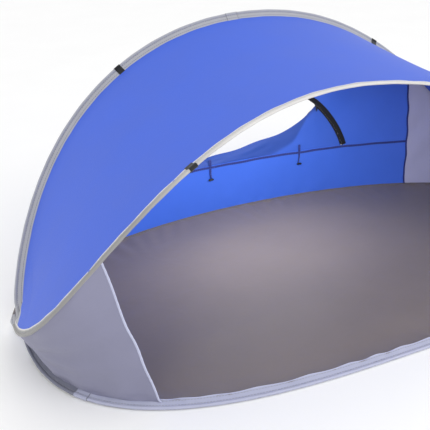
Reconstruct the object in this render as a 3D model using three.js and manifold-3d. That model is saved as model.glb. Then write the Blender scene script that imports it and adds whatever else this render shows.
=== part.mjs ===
// A pop-up beach tent: two crossing spring-wire loops in sewn sleeves, with a roof, a rear wall with a
// half-moon window, corner gussets and a floor. Millimetres, +Z up, the entrance faces -Y.
import * as THREE from 'three';
import { mergeVertices } from 'three/addons/utils/BufferGeometryUtils.js';
import Module from 'manifold-3d';

const wasm = await Module();
wasm.setup();

// Driving dimensions of the two loops. Loop A is the ridge arch and the front ground hoop. Loop B is the
// lip arch over the entrance and the rear ground hoop, and it passes outside loop A at each corner.
const LOOP_A = {
  half: 1100, rise: 864, lean: 521, bow: 124, depth: -722,
  topX: 2.11, topS: 1.38, groundX: 3.07, groundS: 3.07,
};
const LOOP_B = {
  half: 1120, rise: 752, lean: -307, bow: -401, depth: 542,
  topX: 1.93, topS: 2.28, groundX: 2.07, groundS: 2.07,
};
const CORNER_SOFTNESS = 0.155;      // how far up the arches the rounding of a corner reaches
const WIRE_REST_HEIGHT = 6.2;       // wire centre above the ground where a hoop lies lowest
const CORNER_TRIM = 30;             // each arch stops this far along its wire from the crossing

// Sections
const WIRE_RADIUS = 1.8;
const TUNNEL_RADIUS = 3.6;
const TUBE_RADIUS = 5;
const TAPE_THICKNESS = 2.4;
const RIDGE_TAPE = 27;
const LIP_TAPE = 17;
const FRONT_TAPE = 27;
const REAR_TAPE = 11;
const TAPE_SHARE = 0.3;             // most of the gap between two arches that one tape may fill
const WIRE_SIDES = 3;               // flats round half of a wire, and below round half of a tube
const TUBE_SIDES = 4;
const STATIONS = 44;
const STATION_CROWDING = 0.72;      // 0 spaces stations evenly, near 1 crowds them at the corners
const FERRULE = { inner: 2.4, outer: 2.95, length: 60, slack: 6 };
const LEAST_TAPE = TUBE_RADIUS + 1;
const ARC_DIVISIONS = 4000;
const CROSSING_SEARCH = { reach: 0.2, stop: 1e-7, steps: 20, shrink: 4 };
const MERGE_DISTANCE = 1e-3;
const SLOPE_STEP = 1e-3;

// Cloth panels
const CLOTH = 2;
const FLOOR_THICKNESS = 3;
const GAP = 0.8;
const ROOF_ROWS = 6;
const SEAM_HEIGHT = 220;
const SEAM_SIDE = 740;
const WALL_END = 1092;
const WALL_CLEARANCE = 7.2;
const WALL_COLUMNS = 30;
const WALL_ROWS = 5;
const END_COLUMNS = 9;
const FLOOR_COLUMNS = 36;
const FLOOR_END = 1062;
const FLOOR_GAP = 2.2;
const FLOOR_ROLL = 90;              // the floor lifts to its hoops over this width
const SEAM_TAPE = { width: 9, thickness: 1.2, offset: 2.1 };

// Window: a round-topped zip opening whose centre lies below the horizontal seam
const WINDOW = { centre: 95, radius: 452, sill: 228, tape: 8, gap: 0.4, thickness: 1.6, cut: 200 };
const WALL_TAPE_LIFT = 1;           // how far above the sill the zip tape on the wall ends
const FLAP_TAPE_LIFT = 3;
const WINDOW_SEGMENTS = 30;
const SLIDER_ANGLE = THREE.MathUtils.degToRad(41);
const SLIDER = { length: 13, width: 9, thickness: 4.4, offset: 5.6 };
const PULL = { length: 30, width: 7, thickness: 1.8, offset: 9.4 };
const FLAP = {
  lift: 110, tip: 85, left: -420, right: 300, thickness: 2, lean: 26,
  foot: 2, least: 12, end: 8, columns: 26, rows: 5,
};
const FLAP_RISE_POWER = 1.4;
const FLAP_TIP_POWER = 9;

// Ties under the window
const TIE_SIDE = 217;
const TIE = { width: 9, thickness: 1.4, drop: 50, loop: 34, offset: 4.6, above: 3, below: 1 };
const TOGGLE = { radius: 4.2, length: 22, sides: 12, clear: 1 };

// Gussets between the lip arch and the front hoop
const GUSSET = {
  lipX: 903, frontX: 805, columns: 9, rows: 6,
  clearance: 7.4, settle: 3, start: 2, end: 0.97,
};
const HEM = { width: 8, thickness: 3.2, start: 0.978 };

// Trim on the sleeves
const TAB = { along: 26, across: 30, thickness: 2.2, lift: 5.4 };
const RIDGE_TAB_X = 572;
const LIP_TAB_X = 615;
const RIDGE_PATCH = { along: 46, across: 31, thickness: 1.6, lift: 5.4 };
const FRONT_PATCH = { along: 46, across: 20, thickness: 1.6, lift: 5.4 };
const RIDGE_JOINT_X = -94;
const FRONT_JOINT_X = -990;
const CORNER_WRAP_RADIUS = 19;
const CORNER_WRAP_DETAIL = 12;
const PLATE_MARGIN = 1;             // how far a plate reaches past the tube it is sewn round
const PLATE_GAP = 0.4;
const PULL_SIDES = 6;

// Colours
const LIGHT_GREY = 0xb9b9c0;
const PALE_TAPE = 0xc9cbd6;
const BLUE = 0x4f76de;
const DEEP_BLUE = 0x3a62cf;
const GREY = 0x8f90a4;
const FLOOR_GREY = 0x716d75;
const NAVY = 0x232c5c;
const BLACK = 0x17171b;
const STEEL = 0x9a9ca0;

// Surface roughness of each kind of piece
const ROUGH = {
  wire: 0.35, ferrule: 0.3, sleeve: 0.7, cloth: 0.65,
  zip: 0.6, webbing: 0.5, plastic: 0.4, wrap: 0.75,
};

const group = new THREE.Group();

// ---------------------------------------------------------------- curves

// Rises from nearly 0 to 1 as share goes from -1 to 1, with a rounded bend at 0.
function softRamp(share) {
  const top = 1 + Math.hypot(1, CORNER_SOFTNESS);
  return (share + Math.hypot(share, CORNER_SOFTNESS)) / top;
}

// The point of a loop at a signed share of its height: 1 at the arch's top, -1 at the hoop's far side.
function loopPoint(loop, x, share) {
  const up = softRamp(share);
  const out = softRamp(-share);
  const y = loop.lean * up + loop.bow * 4 * up * (1 - up) + loop.depth * out;
  const z = loop.rise * (up - softRamp(-1)) + WIRE_REST_HEIGHT;
  return new THREE.Vector3(x, y, z);
}

// Turn 0 is the arch's top, a quarter turn is the corner and half a turn is the hoop's far side.
function loopAtTurn(loop, turn) {
  const sine = Math.sin(turn);
  const cosine = Math.cos(turn);
  const xPower = 2 / (cosine >= 0 ? loop.topX : loop.groundX);
  const sPower = 2 / (cosine >= 0 ? loop.topS : loop.groundS);
  const x = loop.half * Math.sign(sine) * Math.abs(sine) ** xPower;
  const share = Math.sign(cosine) * Math.abs(cosine) ** sPower;
  return loopPoint(loop, x, share);
}

// The arch (top) or the hoop (not top) of a loop where it passes a given x.
function loopAtX(loop, x, top) {
  const xPower = (top ? loop.topX : loop.groundX) / 2;
  const sPower = 2 / (top ? loop.topS : loop.groundS);
  const sine = (Math.abs(x) / loop.half) ** xPower;
  const share = Math.sqrt(1 - sine * sine) ** sPower;
  return loopPoint(loop, x, top ? share : -share);
}

// The turns at which the two loops cross in the side view, found by halving the search range.
function crossingTurns() {
  let best = { gap: Infinity, a: Math.PI / 2, b: Math.PI / 2 };
  const steps = CROSSING_SEARCH.steps;
  let reach = CROSSING_SEARCH.reach;
  while (reach > CROSSING_SEARCH.stop) {
    const middle = { ...best };
    for (let i = -steps; i <= steps; i += 1) {
      for (let j = -steps; j <= steps; j += 1) {
        const a = Math.max(Math.PI / 2, middle.a + (reach * i) / steps);
        const b = Math.max(Math.PI / 2, middle.b + (reach * j) / steps);
        const p = loopAtTurn(LOOP_A, a);
        const q = loopAtTurn(LOOP_B, b);
        const gap = Math.hypot(p.y - q.y, p.z - q.z);
        if (gap < best.gap) best = { gap, a, b };
      }
    }
    reach /= CROSSING_SEARCH.shrink;
  }
  return best;
}

const CROSSING = crossingTurns();
const CROSS_A = loopAtTurn(LOOP_A, CROSSING.a);
const CROSS_B = loopAtTurn(LOOP_B, CROSSING.b);

// One arch of a loop, from its left crossing to its right one.
class Arch extends THREE.Curve {
  constructor(loop, crossing, top) {
    super();
    this.loop = loop;
    this.start = -crossing;
    this.sweep = top ? 2 * crossing : 2 * crossing - 2 * Math.PI;
    this.arcLengthDivisions = ARC_DIVISIONS;
  }

  getPoint(t, target = new THREE.Vector3()) {
    return target.copy(loopAtTurn(this.loop, this.start + this.sweep * t));
  }
}

function stationShare(i) {
  const t = i / STATIONS;
  return t - (STATION_CROWDING * Math.sin(2 * Math.PI * t)) / (2 * Math.PI);
}

function stationPoints(arch) {
  const trim = CORNER_TRIM / arch.getLength();
  const points = [];
  for (let i = 0; i <= STATIONS; i += 1) {
    points.push(arch.getPointAt(trim + (1 - 2 * trim) * stationShare(i)));
  }
  return points;
}

// A rail holds an arch's stations with, at each, the direction its tape points (web) and the face it shows.
function makeRail(points, targets, tape) {
  const rail = { points, webs: [], faces: [], tapes: [] };
  for (let i = 0; i < points.length; i += 1) {
    const before = points[Math.max(0, i - 1)];
    const after = points[Math.min(points.length - 1, i + 1)];
    const tangent = after.clone().sub(before).normalize();
    const web = targets[i].clone().sub(points[i]);
    const reach = web.length();
    web.addScaledVector(tangent, -web.dot(tangent)).normalize();
    rail.webs.push(web);
    rail.faces.push(tangent.clone().cross(web));
    rail.tapes.push(Math.min(tape, Math.max(LEAST_TAPE, reach * TAPE_SHARE)));
  }
  return rail;
}

const ridgePoints = stationPoints(new Arch(LOOP_A, CROSSING.a, true));
const frontPoints = stationPoints(new Arch(LOOP_A, CROSSING.a, false));
const lipPoints = stationPoints(new Arch(LOOP_B, CROSSING.b, true));
const rearPoints = stationPoints(new Arch(LOOP_B, CROSSING.b, false));

function floorCentres(points) {
  return points.map((p) => new THREE.Vector3(p.x / 2, CROSS_A.y, p.z));
}

const ridgeRail = makeRail(ridgePoints, lipPoints, RIDGE_TAPE);
const lipRail = makeRail(lipPoints, ridgePoints, LIP_TAPE);
const frontRail = makeRail(frontPoints, floorCentres(frontPoints), FRONT_TAPE);
const rearRail = makeRail(rearPoints, floorCentres(rearPoints), REAR_TAPE);

function onRail(rail, i, across, lift) {
  const point = rail.points[i].clone();
  point.addScaledVector(rail.webs[i], across);
  return point.addScaledVector(rail.faces[i], lift);
}

function nearestStation(rail, x) {
  let best = 0;
  for (let i = 0; i < rail.points.length; i += 1) {
    if (Math.abs(rail.points[i].x - x) < Math.abs(rail.points[best].x - x)) best = i;
  }
  return best;
}

// ---------------------------------------------------------------- solids

function tidy(geometry) {
  geometry.deleteAttribute('normal');
  geometry.deleteAttribute('uv');
  const merged = mergeVertices(geometry, MERGE_DISTANCE);
  const p = merged.attributes.position;
  const index = merged.index;
  const a = new THREE.Vector3();
  const b = new THREE.Vector3();
  const c = new THREE.Vector3();
  let volume = 0;
  for (let i = 0; i < index.count; i += 3) {
    a.fromBufferAttribute(p, index.getX(i));
    b.fromBufferAttribute(p, index.getX(i + 1));
    c.fromBufferAttribute(p, index.getX(i + 2));
    volume += a.dot(b.cross(c));
  }
  if (volume < 0) {
    for (let i = 0; i < index.count; i += 3) {
      const keep = index.getX(i);
      index.setX(i, index.getX(i + 2));
      index.setX(i + 2, keep);
    }
  }
  merged.computeVertexNormals();
  return merged;
}

function place(geometry, move) {
  const position = geometry.attributes.position;
  const v = new THREE.Vector3();
  for (let i = 0; i < position.count; i += 1) {
    v.fromBufferAttribute(position, i);
    const moved = move(v);
    position.setXYZ(i, moved.x, moved.y, moved.z);
  }
  return tidy(geometry);
}

function add(name, geometry, color, roughness, metalness = 0) {
  const material = new THREE.MeshStandardMaterial({ color, roughness, metalness });
  const mesh = new THREE.Mesh(geometry, material);
  mesh.name = name;
  group.add(mesh);
}

function toManifold(geometry) {
  const vertProperties = new Float32Array(geometry.attributes.position.array);
  const triVerts = new Uint32Array(geometry.index.array);
  return new wasm.Manifold(new wasm.Mesh({ numProp: 3, vertProperties, triVerts }));
}

function fromManifold(solid) {
  const mesh = solid.getMesh();
  const geometry = new THREE.BufferGeometry();
  geometry.setAttribute('position', new THREE.BufferAttribute(mesh.vertProperties, 3));
  geometry.setIndex(new THREE.BufferAttribute(mesh.triVerts, 1));
  geometry.computeVertexNormals();
  return geometry;
}

// Sweeps a section along a rail: section x runs along the tape, section y along its face.
function sweep(section, rail, curveSegments) {
  const options = { depth: 1, steps: STATIONS, bevelEnabled: false, curveSegments };
  return place(new THREE.ExtrudeGeometry(section, options), (v) => {
    const i = Math.round(v.z * STATIONS);
    const full = v.x > TUBE_RADIUS;
    return onRail(rail, i, full ? rail.tapes[i] : v.x, v.y);
  });
}

// A sheet of even thickness over a surface given by pointAt(u, v), with u and v from 0 to 1.
function sheet(columns, rows, thickness, pointAt) {
  return place(new THREE.BoxGeometry(1, 1, 1, columns, rows, 1), (corner) => {
    const u = corner.x + 0.5;
    const v = corner.y + 0.5;
    const along = pointAt(Math.min(1, u + SLOPE_STEP), v).sub(pointAt(Math.max(0, u - SLOPE_STEP), v));
    const up = pointAt(u, Math.min(1, v + SLOPE_STEP)).sub(pointAt(u, Math.max(0, v - SLOPE_STEP)));
    const normal = along.cross(up).normalize();
    return pointAt(u, v).addScaledVector(normal, corner.z * thickness);
  });
}

function between(points, share) {
  const at = share * (points.length - 1);
  const i = Math.min(points.length - 2, Math.floor(at));
  return points[i].clone().lerp(points[i + 1], at - i);
}

// ---------------------------------------------------------------- wires and sleeves

function roundSection(radius) {
  const section = new THREE.Shape();
  section.absarc(0, 0, radius, 0, 2 * Math.PI, false);
  return section;
}

function sleeveSection(tape) {
  const start = Math.asin(TAPE_THICKNESS / 2 / TUBE_RADIUS);
  const section = new THREE.Shape();
  section.moveTo(tape, TAPE_THICKNESS / 2);
  section.absarc(0, 0, TUBE_RADIUS, start, 2 * Math.PI - start, false);
  section.lineTo(tape, -TAPE_THICKNESS / 2);
  section.closePath();
  const tunnel = new THREE.Path();
  tunnel.absarc(0, 0, TUNNEL_RADIUS, 0, 2 * Math.PI, true);
  section.holes.push(tunnel);
  return section;
}

function addArch(name, rail, tape, color) {
  add(`${name}_wire`, sweep(roundSection(WIRE_RADIUS), rail, WIRE_SIDES), STEEL, ROUGH.wire, 1);
  add(`${name}_sleeve`, sweep(sleeveSection(tape), rail, TUBE_SIDES), color, ROUGH.sleeve);
}

// The crimped steel sleeve that joins the two ends of a loop's wire, inside the sewn tunnel.
function ferrule(rail, x) {
  const i = nearestStation(rail, x);
  const points = [rail.points[i - 1], rail.points[i], rail.points[i + 1]];
  const along = points[2].clone().sub(points[1]).normalize();
  const section = roundSection(FERRULE.outer);
  const bore = new THREE.Path();
  bore.absarc(0, 0, FERRULE.inner, 0, 2 * Math.PI, true);
  section.holes.push(bore);
  const options = { depth: 1, steps: 1, bevelEnabled: false, curveSegments: WIRE_SIDES };
  const middle = points[1].clone().lerp(points[2], 0.5);
  const web = rail.webs[i].clone().addScaledVector(along, -rail.webs[i].dot(along)).normalize();
  const face = along.clone().cross(web);
  const length = Math.min(FERRULE.length, points[2].distanceTo(points[1]) - FERRULE.slack);
  return place(new THREE.ExtrudeGeometry(section, options), (v) => {
    const point = middle.clone().addScaledVector(along, (v.z - 0.5) * length);
    point.addScaledVector(web, v.x);
    return point.addScaledVector(face, v.y);
  });
}

// The reinforced cloth wrap where the two loops cross.
function cornerWrap(side) {
  const ball = new THREE.SphereGeometry(CORNER_WRAP_RADIUS, CORNER_WRAP_DETAIL, CORNER_WRAP_DETAIL / 2);
  const x = ((CROSS_A.x + CROSS_B.x) / 2) * side;
  ball.translate(x, CROSS_A.y, CROSS_A.z);
  return tidy(ball);
}

// A plate lying over a sleeve at the station nearest x. Sign 1 puts it on the side the faces point to,
// which is into the tent, and -1 on the other side.
function sleevePlate(rail, x, size, sign) {
  const i = nearestStation(rail, x);
  const tangent = rail.points[i + 1].clone().sub(rail.points[i - 1]).normalize();
  const box = new THREE.BoxGeometry(size.along, size.across, size.thickness, 2, 2, 1);
  const centre = size.across / 2 - TUBE_RADIUS - PLATE_MARGIN;
  const lift = sign * (size.lift + size.thickness / 2 + PLATE_GAP);
  return place(box, (v) => {
    const point = onRail(rail, i, centre + v.y, lift + v.z);
    return point.addScaledVector(tangent, v.x);
  });
}

// ---------------------------------------------------------------- roof, wall, floor, gussets

function railEdge(rail, gap) {
  return rail.points.map((_, i) => onRail(rail, i, rail.tapes[i] + gap, 0));
}

function roofPanel() {
  const ridgeEdge = railEdge(ridgeRail, GAP);
  const lipEdge = railEdge(lipRail, GAP);
  return sheet(STATIONS, ROOF_ROWS, CLOTH, (u, v) => between(ridgeEdge, u).lerp(between(lipEdge, u), v));
}

function slopeAt(loop, x, top) {
  const a = loopAtX(loop, x - 1, top);
  const b = loopAtX(loop, x + 1, top);
  return Math.hypot(1, (b.z - a.z) / 2, (b.y - a.y) / 2);
}

function wallTop(x) {
  return loopAtX(LOOP_A, x, true).z - WALL_CLEARANCE * slopeAt(LOOP_A, x, true);
}

function wallFoot(x) {
  return loopAtX(LOOP_B, x, false).z + WALL_CLEARANCE;
}

// The rear wall is a straight-lined surface from the rear hoop up to the ridge.
function wallY(x, z) {
  const low = loopAtX(LOOP_B, x, false);
  const high = loopAtX(LOOP_A, x, true);
  return low.y + ((high.y - low.y) * (z - low.z)) / (high.z - low.z);
}

function wallPoint(x, z, inward = 0) {
  return new THREE.Vector3(x, wallY(x, z) - inward, z);
}

function wallSheet(fromX, toX, columns, low, high) {
  return sheet(columns, WALL_ROWS, CLOTH, (u, v) => {
    const x = fromX + (toX - fromX) * u;
    return wallPoint(x, low(x) + (high(x) - low(x)) * v);
  });
}

function windowTop(x, radius) {
  return WINDOW.centre + Math.sqrt(Math.max(0, radius * radius - x * x));
}

function windowCutter() {
  const radius = WINDOW.radius + WINDOW.tape + WINDOW.gap;
  const rise = WINDOW.sill - WINDOW.centre;
  const start = Math.asin(rise / radius);
  const outline = new THREE.Shape();
  outline.absarc(0, WINDOW.centre, radius, start, Math.PI - start, false);
  outline.closePath();
  const depth = WINDOW.cut;
  const options = { depth, bevelEnabled: false, curveSegments: WINDOW_SEGMENTS };
  const cutter = new THREE.ExtrudeGeometry(outline, options);
  cutter.rotateX(Math.PI / 2);
  cutter.translate(0, wallY(0, SEAM_HEIGHT) + depth / 2, 0);
  return tidy(cutter);
}

function upperWall() {
  const side = SEAM_SIDE - GAP / 2;
  const panel = wallSheet(-side, side, WALL_COLUMNS, () => SEAM_HEIGHT + GAP / 2, wallTop);
  const cut = toManifold(panel).subtract(toManifold(windowCutter()));
  return fromManifold(cut);
}

function lowerWall() {
  const side = SEAM_SIDE - GAP / 2;
  return wallSheet(-side, side, WALL_COLUMNS, wallFoot, () => SEAM_HEIGHT - GAP / 2);
}

function endWall(side) {
  const from = side * (SEAM_SIDE + GAP / 2);
  return wallSheet(from, side * WALL_END, END_COLUMNS, wallFoot, wallTop);
}

function seamTape() {
  const side = SEAM_SIDE - SEAM_TAPE.width;
  return sheet(WALL_COLUMNS, 1, SEAM_TAPE.thickness, (u, v) => {
    const x = side * (2 * u - 1);
    return wallPoint(x, SEAM_HEIGHT + (v - 0.5) * SEAM_TAPE.width, SEAM_TAPE.offset);
  });
}

function sideSeamTape(side) {
  return sheet(1, WALL_ROWS * 2, SEAM_TAPE.thickness, (u, v) => {
    const x = side * (SEAM_SIDE + (u - 0.5) * SEAM_TAPE.width);
    const z = wallFoot(x) + (wallTop(x) - wallFoot(x) - WALL_CLEARANCE) * v;
    return wallPoint(x, z, SEAM_TAPE.offset);
  });
}

// A band of zip tape on the wall's surface, between two radii and two angles from upright.
function zipBand(innerRadius, outerRadius, fromAngle, toAngle, segments) {
  return sheet(segments, 1, WINDOW.thickness, (u, v) => {
    const angle = fromAngle + (toAngle - fromAngle) * u;
    const radius = innerRadius + (outerRadius - innerRadius) * v;
    const x = radius * Math.sin(angle);
    return wallPoint(x, WINDOW.centre + radius * Math.cos(angle));
  });
}

function wallZipTape() {
  const inner = WINDOW.radius + WINDOW.gap;
  const outer = WINDOW.radius + WINDOW.tape;
  const end = Math.acos((WINDOW.sill + WALL_TAPE_LIFT - WINDOW.centre) / inner);
  return zipBand(inner, outer, -end, end, WINDOW_SEGMENTS);
}

function flapZipTape() {
  const inner = WINDOW.radius - WINDOW.tape;
  const outer = WINDOW.radius - WINDOW.gap;
  const end = Math.acos((WINDOW.sill + FLAP_TAPE_LIFT - WINDOW.centre) / inner);
  return zipBand(inner, outer, SLIDER_ANGLE, end, WINDOW_SEGMENTS / 3);
}

function flapTop(x) {
  const t = THREE.MathUtils.clamp((x - FLAP.left) / (FLAP.right - FLAP.left), 0, 1);
  const slack = WINDOW.sill + FLAP.least + FLAP.lift * t ** FLAP_RISE_POWER + FLAP.tip * t ** FLAP_TIP_POWER;
  return Math.min(slack, windowTop(x, WINDOW.radius - WINDOW.tape - 2 * WINDOW.gap));
}

// The unzipped window flap: it stands on its sill, zipped at the right and slumped outwards at the left.
function flapPanel() {
  const foot = WINDOW.sill + FLAP.foot;
  const inner = WINDOW.radius - WINDOW.tape - 2 * WINDOW.gap;
  const right = Math.sqrt(inner ** 2 - (foot + FLAP.end - WINDOW.centre) ** 2);
  return sheet(FLAP.columns, FLAP.rows, FLAP.thickness, (u, v) => {
    const x = FLAP.left + (right - FLAP.left) * u;
    const z = foot + (flapTop(x) - foot) * v;
    const free = THREE.MathUtils.clamp((FLAP.right - x) / (FLAP.right - FLAP.left), 0, 1);
    return wallPoint(x, z, -FLAP.lean * free * v * v);
  });
}

// The plane of the zip's circle leans with the wall: it holds both ends and the top of the arc.
const ZIP_SIDE = Math.sqrt(WINDOW.radius ** 2 - (WINDOW.sill - WINDOW.centre) ** 2);
const ZIP_FOOT_Y = wallY(ZIP_SIDE, WINDOW.sill);
const ZIP_TOP_Z = WINDOW.centre + WINDOW.radius;
const ZIP_LEAN = Math.atan2(wallY(0, ZIP_TOP_Z) - ZIP_FOOT_Y, ZIP_TOP_Z - WINDOW.sill);

function zipFrame(angle, inward) {
  const x = WINDOW.radius * Math.sin(angle);
  const z = WINDOW.centre + WINDOW.radius * Math.cos(angle);
  const y = ZIP_FOOT_Y + (z - WINDOW.sill) * Math.tan(ZIP_LEAN);
  const matrix = new THREE.Matrix4().makeRotationX(-ZIP_LEAN);
  matrix.setPosition(x, y - inward, z);
  return matrix;
}

function zipSlider() {
  const body = new THREE.BoxGeometry(SLIDER.length, SLIDER.thickness, SLIDER.width, 2, 1, 1);
  body.rotateY(SLIDER_ANGLE);
  body.applyMatrix4(zipFrame(SLIDER_ANGLE, SLIDER.offset));
  return tidy(body);
}

function zipPull() {
  const outline = new THREE.Shape();
  const half = PULL.width / 2;
  outline.absarc(0, 0, half, 0, Math.PI, false);
  outline.absarc(0, half - PULL.length, half, Math.PI, 2 * Math.PI, false);
  outline.closePath();
  const options = { depth: PULL.thickness, bevelEnabled: false, curveSegments: PULL_SIDES };
  const tab = new THREE.ExtrudeGeometry(outline, options);
  tab.rotateX(Math.PI / 2);
  tab.applyMatrix4(zipFrame(SLIDER_ANGLE, PULL.offset));
  return tidy(tab);
}

function tieLoop(side) {
  return sheet(1, 3, TIE.thickness, (u, v) => {
    const x = side * TIE_SIDE + (u - 0.5) * TIE.width;
    return wallPoint(x, SEAM_HEIGHT + TIE.above + v * TIE.loop, TIE.offset);
  });
}

function tieStrap(side) {
  const strap = new THREE.BoxGeometry(TIE.width, TIE.thickness, TIE.drop, 1, 1, 2);
  const top = SEAM_HEIGHT - TIE.below;
  const y = wallY(TIE_SIDE, top) - TIE.offset;
  strap.translate(side * TIE_SIDE, y, top - TIE.drop / 2);
  return tidy(strap);
}

function tieToggle(side) {
  const bead = new THREE.CylinderGeometry(TOGGLE.radius, TOGGLE.radius, TOGGLE.length, TOGGLE.sides, 1);
  bead.rotateZ(Math.PI / 2);
  const z = SEAM_HEIGHT - TIE.below - TIE.drop - TOGGLE.radius - GAP / 2;
  const clear = TOGGLE.radius + CLOTH / 2 + TOGGLE.clear;
  bead.translate(side * TIE_SIDE, wallY(TIE_SIDE, z) - clear, z);
  return tidy(bead);
}

// The y and z at which a line of edge points passes x.
function edgeAt(edge, x) {
  let i = 0;
  while (i < edge.length - 2 && edge[i + 1].x < x) i += 1;
  const share = (x - edge[i].x) / (edge[i + 1].x - edge[i].x);
  return edge[i].clone().lerp(edge[i + 1], THREE.MathUtils.clamp(share, 0, 1));
}

const FLOOR_ROWS = [0, 0.03, 0.08, 0.2, 0.5, 0.8, 0.92, 0.97, 1];

function floorSheet() {
  const front = railEdge(frontRail, FLOOR_GAP);
  const rear = railEdge(rearRail, FLOOR_GAP);
  return sheet(FLOOR_COLUMNS, FLOOR_ROWS.length - 1, FLOOR_THICKNESS, (u, v) => {
    const x = FLOOR_END * Math.sin(Math.PI * (u - 0.5));
    const at = v * (FLOOR_ROWS.length - 1);
    const row = Math.min(FLOOR_ROWS.length - 2, Math.floor(at));
    const share = THREE.MathUtils.lerp(FLOOR_ROWS[row], FLOOR_ROWS[row + 1], at - row);
    const a = edgeAt(front, x);
    const b = edgeAt(rear, x);
    const point = a.clone().lerp(b, share);
    const inset = Math.min(point.distanceTo(a), point.distanceTo(b));
    const lift = Math.max(0, 1 - inset / FLOOR_ROLL) ** 2;
    const rest = FLOOR_THICKNESS / 2;
    point.x = x;
    point.z = rest + (point.z - rest) * lift;
    return point;
  });
}

// Points along the lip arch and the front hoop from near the corner to the gusset's free edge.
function gussetPoint(side, u, v) {
  const lip = lipRail;
  const front = frontRail;
  const lipStop = stationOf(lip, GUSSET.lipX);
  const frontStop = stationOf(front, GUSSET.frontX);
  const a = gussetEdge(lip, GUSSET.start + (lipStop - GUSSET.start) * u, side);
  const b = gussetEdge(front, GUSSET.start + (frontStop - GUSSET.start) * u, side);
  const down = b.point.clone().sub(a.point);
  const top = a.point.clone().addScaledVector(down.normalize(), GUSSET.clearance);
  const inset = Math.max(0, b.tape - HEM.width);
  const foot = b.point.clone().addScaledVector(b.web, inset);
  foot.z += GUSSET.clearance - GUSSET.settle;
  return top.lerp(foot, v);
}

function gussetEdge(rail, at, side) {
  const exact = side < 0 ? at : STATIONS - at;
  const i = Math.min(STATIONS - 1, Math.floor(exact));
  const share = exact - i;
  const point = rail.points[i].clone().lerp(rail.points[i + 1], share);
  const web = rail.webs[i].clone().lerp(rail.webs[i + 1], share);
  const tape = THREE.MathUtils.lerp(rail.tapes[i], rail.tapes[i + 1], share);
  return { point, web, tape };
}

function stationOf(rail, x) {
  let i = 0;
  while (rail.points[i + 1].x < -x) i += 1;
  return i + (-x - rail.points[i].x) / (rail.points[i + 1].x - rail.points[i].x);
}

function gusset(side) {
  return sheet(GUSSET.columns, GUSSET.rows, CLOTH, (u, v) => gussetPoint(side, u * GUSSET.end, v));
}

function gussetHem(side) {
  return sheet(1, GUSSET.rows, HEM.thickness, (u, v) => gussetPoint(side, HEM.start + (1 - HEM.start) * u, v));
}

// ---------------------------------------------------------------- assembly

addArch('ridge', ridgeRail, RIDGE_TAPE, LIGHT_GREY);
addArch('front_ground', frontRail, FRONT_TAPE, PALE_TAPE);
addArch('lip', lipRail, LIP_TAPE, PALE_TAPE);
addArch('rear_ground', rearRail, REAR_TAPE, LIGHT_GREY);
add('loop_a_ferrule', ferrule(ridgeRail, RIDGE_JOINT_X), STEEL, ROUGH.ferrule, 1);
add('loop_b_ferrule', ferrule(rearRail, 0), STEEL, ROUGH.ferrule, 1);

add('roof_panel', roofPanel(), BLUE, ROUGH.cloth);
add('wall_upper_panel', upperWall(), DEEP_BLUE, ROUGH.cloth);
add('wall_lower_panel', lowerWall(), DEEP_BLUE, ROUGH.cloth);
add('wall_seam_tape', seamTape(), NAVY, ROUGH.sleeve);
add('window_zip_tape', wallZipTape(), BLACK, ROUGH.zip);
add('flap_zip_tape', flapZipTape(), BLACK, ROUGH.zip);
add('window_flap', flapPanel(), DEEP_BLUE, ROUGH.cloth);
add('zip_slider', zipSlider(), BLACK, ROUGH.plastic);
add('zip_pull', zipPull(), BLACK, ROUGH.plastic);
add('floor_sheet', floorSheet(), FLOOR_GREY, ROUGH.zip);
add('ridge_sleeve_joint', sleevePlate(ridgeRail, RIDGE_JOINT_X, RIDGE_PATCH, -1), LIGHT_GREY, ROUGH.sleeve);
add('front_sleeve_joint', sleevePlate(frontRail, FRONT_JOINT_X, FRONT_PATCH, 1), LIGHT_GREY, ROUGH.sleeve);

for (const [word, side] of [['left', -1], ['right', 1]]) {
  add(`corner_wrap_${word}`, cornerWrap(side), LIGHT_GREY, ROUGH.wrap);
  add(`wall_end_${word}`, endWall(side), GREY, ROUGH.sleeve);
  add(`wall_side_seam_${word}`, sideSeamTape(side), NAVY, ROUGH.sleeve);
  add(`gusset_${word}`, gusset(side), GREY, ROUGH.sleeve);
  add(`gusset_hem_${word}`, gussetHem(side), PALE_TAPE, ROUGH.sleeve);
  add(`tie_loop_${word}`, tieLoop(side), NAVY, ROUGH.wrap);
  add(`tie_strap_${word}`, tieStrap(side), NAVY, ROUGH.wrap);
  add(`tie_toggle_${word}`, tieToggle(side), BLACK, ROUGH.plastic);
  add(`ridge_tab_${word}`, sleevePlate(ridgeRail, side * RIDGE_TAB_X, TAB, -1), BLACK, ROUGH.webbing);
  add(`lip_tab_${word}`, sleevePlate(lipRail, side * LIP_TAB_X, TAB, 1), BLACK, ROUGH.webbing);
}

export default group;
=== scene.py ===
"""Looks of a pop-up beach shelter: sewn sleeves, sheets of coated polyester, zip, ties and trim."""
import math

import bmesh
import bpy
import numpy as np
from mathutils import Matrix, Vector


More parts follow.
